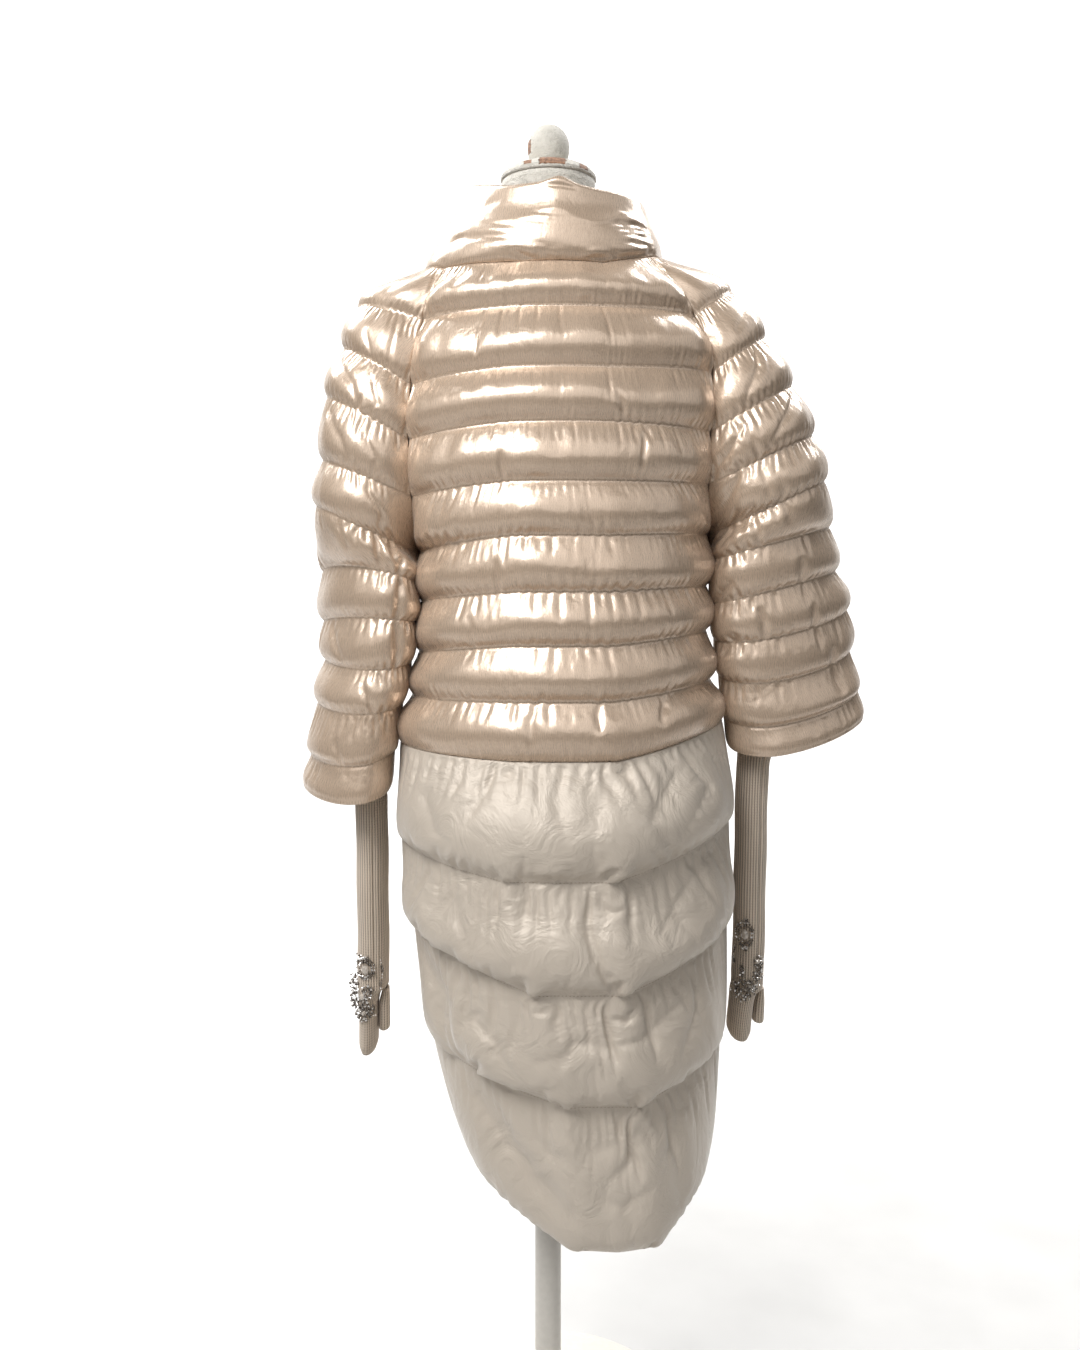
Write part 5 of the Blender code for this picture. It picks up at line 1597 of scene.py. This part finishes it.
class COAT_OT_stitching(bpy.types.Operator):
    """Lay the stitches along every quilting line sewn so far"""
    bl_idname = "coat.stitching"
    bl_label = "Stitching"

    def execute(self, context):
        """Lays them, once there is quilting."""
        cloth = context.scene.coat_cloth
        if not STITCH_ROWS:
            raise RuntimeError("There is no quilting to stitch yet")
        rows = [stitch_places(points, outward, cloth.stitch) for points, outward in STITCH_ROWS]
        centres, frames = map(np.concatenate, zip(*rows))
        sizes = np.broadcast_to([cloth.stitch / 2, cloth.thread, cloth.thread], (len(centres), 3))
        thread = plain_material("stitching thread", tuple(cloth.thread_colour), 0.6, grain=900.0)
        piece = repeated("stitching", *stitch_shape(), centres, frames, sizes, thread, True)
        dress(piece, "champagne_satin")
        return {"FINISHED"}


class COAT_OT_gloves(bpy.types.Operator):
    """Knit the two ribbed gloves and their thumbs"""
    bl_idname = "coat.gloves"
    bl_label = "Gloves"

    def execute(self, context):
        """Knits them."""
        knit = context.scene.coat_knit
        # The knit takes painted shade in the grooves between its ribs and stitches.
        yarn = kept("taupe knit", knit_material, tuple(knit.colour), tuple(knit.shade))
        for side, glove, thumb, strip in (("left", GLOVE_LEFT, THUMB_LEFT, 0.30),
                                          ("right", GLOVE_RIGHT, THUMB_RIGHT, 0.42)):
            knit_piece("glove_" + side, glove, knit.ribs, GLOVE_ROWS, knit.rib_height, knit.wall,
                       yarn, strip)
            knit_piece("glove_thumb_" + side, thumb, knit.ribs // 3, THUMB_ROWS, knit.rib_height,
                       knit.wall, yarn)
        return {"FINISHED"}


class COAT_OT_stones(bpy.types.Operator):
    """Set the cut stones and the small beads on the backs of the gloves"""
    bl_idname = "coat.stones"
    bl_label = "Stones and beads"

    def execute(self, context):
        """Sets them."""
        knit = context.scene.coat_knit
        clear = plain_material("clear stone", tuple(knit.stone_colour), 0.08, 0.1, 300.0, 0.00002,
                               Coat_Weight=1.0, Coat_Roughness=0.03)
        crystal = plain_material("cut crystal", tuple(knit.crystal_colour), 0.06, 0.75, 300.0,
                                 0.00002, Coat_Weight=0.6)
        bead = plain_material("silvered bead", tuple(knit.bead_colour), 0.22, 0.9, 300.0, 0.00003)
        for side, table in (("left", GLOVE_LEFT), ("right", GLOVE_RIGHT)):
            large = np.array(LARGE_STONES[side])
            centres, frames = on_knit(table, large[:, 0], large[:, 1])
            centres = centres + frames[:, 2] * (0.25 * large[:, 4:5] + 0.0006)
            shape, faces = faceted_stone()
            stones = repeated("stones_" + side, shape, faces, centres, frames, large[:, 2:5], clear)
            dress(stones, "crystal", *["stone_%s_%d" % (side, k) for k in (1, 2, 3)])
            beads = bead_places(side)
            centres, frames = on_knit(table, beads[:, 0], beads[:, 1])
            centres = centres + frames[:, 2] * (beads[:, 2:3] + 0.8 * beads[:, 3:4])
            bright = np.arange(len(beads)) % 5 < 2
            sizes = np.repeat(beads[:, 3:4], 3, axis=1)
            dress(repeated("crystals_" + side, shape, faces, centres[bright], frames[bright],
                           sizes[bright], crystal), "crystal")
            shape, faces = round_bead()
            dress(repeated("beads_" + side, shape, faces, centres[~bright], frames[~bright],
                           sizes[~bright], bead, True), "crystal")
        return {"FINISHED"}


class COAT_OT_form(bpy.types.Operator):
    """Turn the dress form, its cap and knob, and the stand"""
    bl_idname = "coat.form"
    bl_label = "Dress form and stand"

    def execute(self, context):
        """Turns them."""
        form = context.scene.coat_form
        paint = form_paint(form)
        metal = plain_material("stand enamel", tuple(form.metal_colour), 0.42, 0.0, 140.0, 0.0002)
        top, foot = FORM[0][0], FORM[-1][0]
        z = np.linspace(top, foot, 121)
        row = curve_through(FORM[::-1], FORM_COLUMNS, z)
        torso = turned_piece("painted_torso", np.column_stack([row["x_half"], z]), 96, paint,
                             np.column_stack([row["y_back"], row["y_front"]]))
        dress(torso, "white_paint", "form_torso")
        for name, profile, steps, material, node in (
                ("painted_cap", cap_profile(form.cap_radius, top + SEAM_GAP), 96, paint,
                 "form_cap"),
                ("painted_knob", knob_profile(form.finial_radius), 80, paint, "form_finial"),
                ("enamelled_pole", pole_profile(form.pole_radius, foot - SEAM_GAP), 48, metal,
                 "stand_pole"),
                ("enamelled_base", base_profile(form.base_radius), 120, metal, "stand_base")):
            dress(turned_piece(name, profile, steps, material), "white_paint", node)
        return {"FINISHED"}


CAMERA_PLACE = (-0.010, -1.5, 1.02)
CAMERA_TILT = 3.434        # degrees down from level
SENSOR = 36.0              # width of the camera's sensor in millimetres


class COAT_OT_stage(bpy.types.Operator):
    """Set up the floor, the soft lights and the camera"""
    bl_idname = "coat.stage"
    bl_label = "Stage"

    def execute(self, context):
        """Sets them up."""
        stage = context.scene.coat_stage
        bend = arc(0.0, 0.0, 1.2, -1.2, 0, 90, 24)
        y = np.concatenate([[-6.0], 2.6 + bend[:, 0], [3.8]])
        z = np.concatenate([[0.0], 1.2 + bend[:, 1], [6.0]])
        points = np.stack(np.broadcast_arrays([[-7.0], [7.0]], y, z), -1)
        floor = new_piece("studio_floor", points.reshape(-1, 3),
                          grid_faces(numbered(points), False).tolist(),
                          plain_material("studio floor", tuple(stage.floor_colour), 0.75, 0.0, 6.0,
                                         0.0001))
        key = self.light(context, "key light", (-1.1, -1.5, 2.7), (0.0, -0.1, 0.9), 1.5, 1.1,
                         stage.key_power)
        key.specular_factor = 0.12
        self.light(context, "front light", (0.0, -2.5, 2.6), (0.0, -0.1, 1.1), 3.8, 2.2,
                   stage.front_power)
        for side, name in ((-1, "left"), (1, "right")):
            self.light(context, name + " light", (side * 2.6, -1.2, 2.5), (0.0, 0.0, 1.1), 2.4,
                       2.0, stage.side_power)
            self.light(context, name + " backdrop light", (side * 1.8, 1.4, 3.2),
                       (side * 0.6, 3.6, 1.0), 2.0, 1.0, stage.backdrop_power)
        world = bpy.data.worlds.new("studio")
        world.use_nodes = True
        sky = world.node_tree.nodes["Background"]
        sky.inputs["Color"].default_value = (0.94, 0.97, 1.0, 1.0)
        sky.inputs["Strength"].default_value = stage.sky
        context.scene.world = world
        context.scene.view_settings.view_transform = "Standard"
        camera = bpy.data.cameras.new("camera")
        camera.lens = stage.lens
        camera.sensor_width = SENSOR
        seat = bpy.data.objects.new("camera", camera)
        seat.location = CAMERA_PLACE
        seat.rotation_euler = (math.radians(90.0 - CAMERA_TILT), 0.0, 0.0)
        context.scene.collection.objects.link(seat)
        context.scene.camera = seat
        return {"FINISHED"}

    def light(self, context, name, place, aim, width, height, power):
        """A soft rectangular light turned from its place to what it lights."""
        data = bpy.data.lights.new(name, "AREA")
        data.shape = "RECTANGLE"
        data.size, data.size_y, data.energy = width, height, power
        lamp = bpy.data.objects.new(name, data)
        lamp.location = place
        direction = Vector(aim) - Vector(place)
        lamp.rotation_euler = direction.to_track_quat("-Z", "Y").to_euler()
        lamp.visible_camera = False
        context.scene.collection.objects.link(lamp)
        return data


class COAT_PT_panel(bpy.types.Panel):
    """The coat's pieces and their settings"""
    bl_idname = "COAT_PT_panel"
    bl_label = "Long puffer coat"
    bl_space_type = "VIEW_3D"
    bl_region_type = "UI"
    bl_category = "Coat"

    def draw(self, context):
        """Draws a box for each group: its settings, then its pieces."""
        for title, group, pieces in PARTS:
            box = self.layout.box()
            box.label(text=title)
            settings = getattr(context.scene, group)
            for name in settings.__annotations__:
                box.prop(settings, name)
            for piece in pieces:
                box.operator(piece.bl_idname)


PARTS = (
    ("Cloth", "coat_cloth", (COAT_OT_body, COAT_OT_skirt, COAT_OT_sleeves, COAT_OT_collar,
                             COAT_OT_stitching)),
    ("Gloves", "coat_knit", (COAT_OT_gloves, COAT_OT_stones)),
    ("Dress form", "coat_form", (COAT_OT_form,)),
    ("Stage", "coat_stage", (COAT_OT_stage,)),
)
GROUPS = {"coat_cloth": CoatCloth, "coat_knit": CoatKnit, "coat_form": CoatForm,
          "coat_stage": CoatStage}
CLASSES = (*GROUPS.values(), *(piece for _, _, pieces in PARTS for piece in pieces),
           COAT_PT_panel)


def register():
    """Registers the settings, the operators and the panel."""
    for kind in CLASSES:
        bpy.utils.register_class(kind)
    for name, group in GROUPS.items():
        setattr(bpy.types.Scene, name, bpy.props.PointerProperty(type=group))


def unregister():
    """Takes them away again."""
    for name in GROUPS:
        delattr(bpy.types.Scene, name)
    for kind in reversed(CLASSES):
        bpy.utils.unregister_class(kind)


def main():
    """Makes every piece in order."""
    register()
    bpy.ops.coat.body()
    bpy.ops.coat.skirt()
    bpy.ops.coat.sleeves()
    bpy.ops.coat.collar()
    bpy.ops.coat.stitching()
    bpy.ops.coat.gloves()
    bpy.ops.coat.stones()
    bpy.ops.coat.form()
    bpy.ops.coat.stage()
    bpy.context.view_layer.update()


if __name__ == "__main__":
    main()
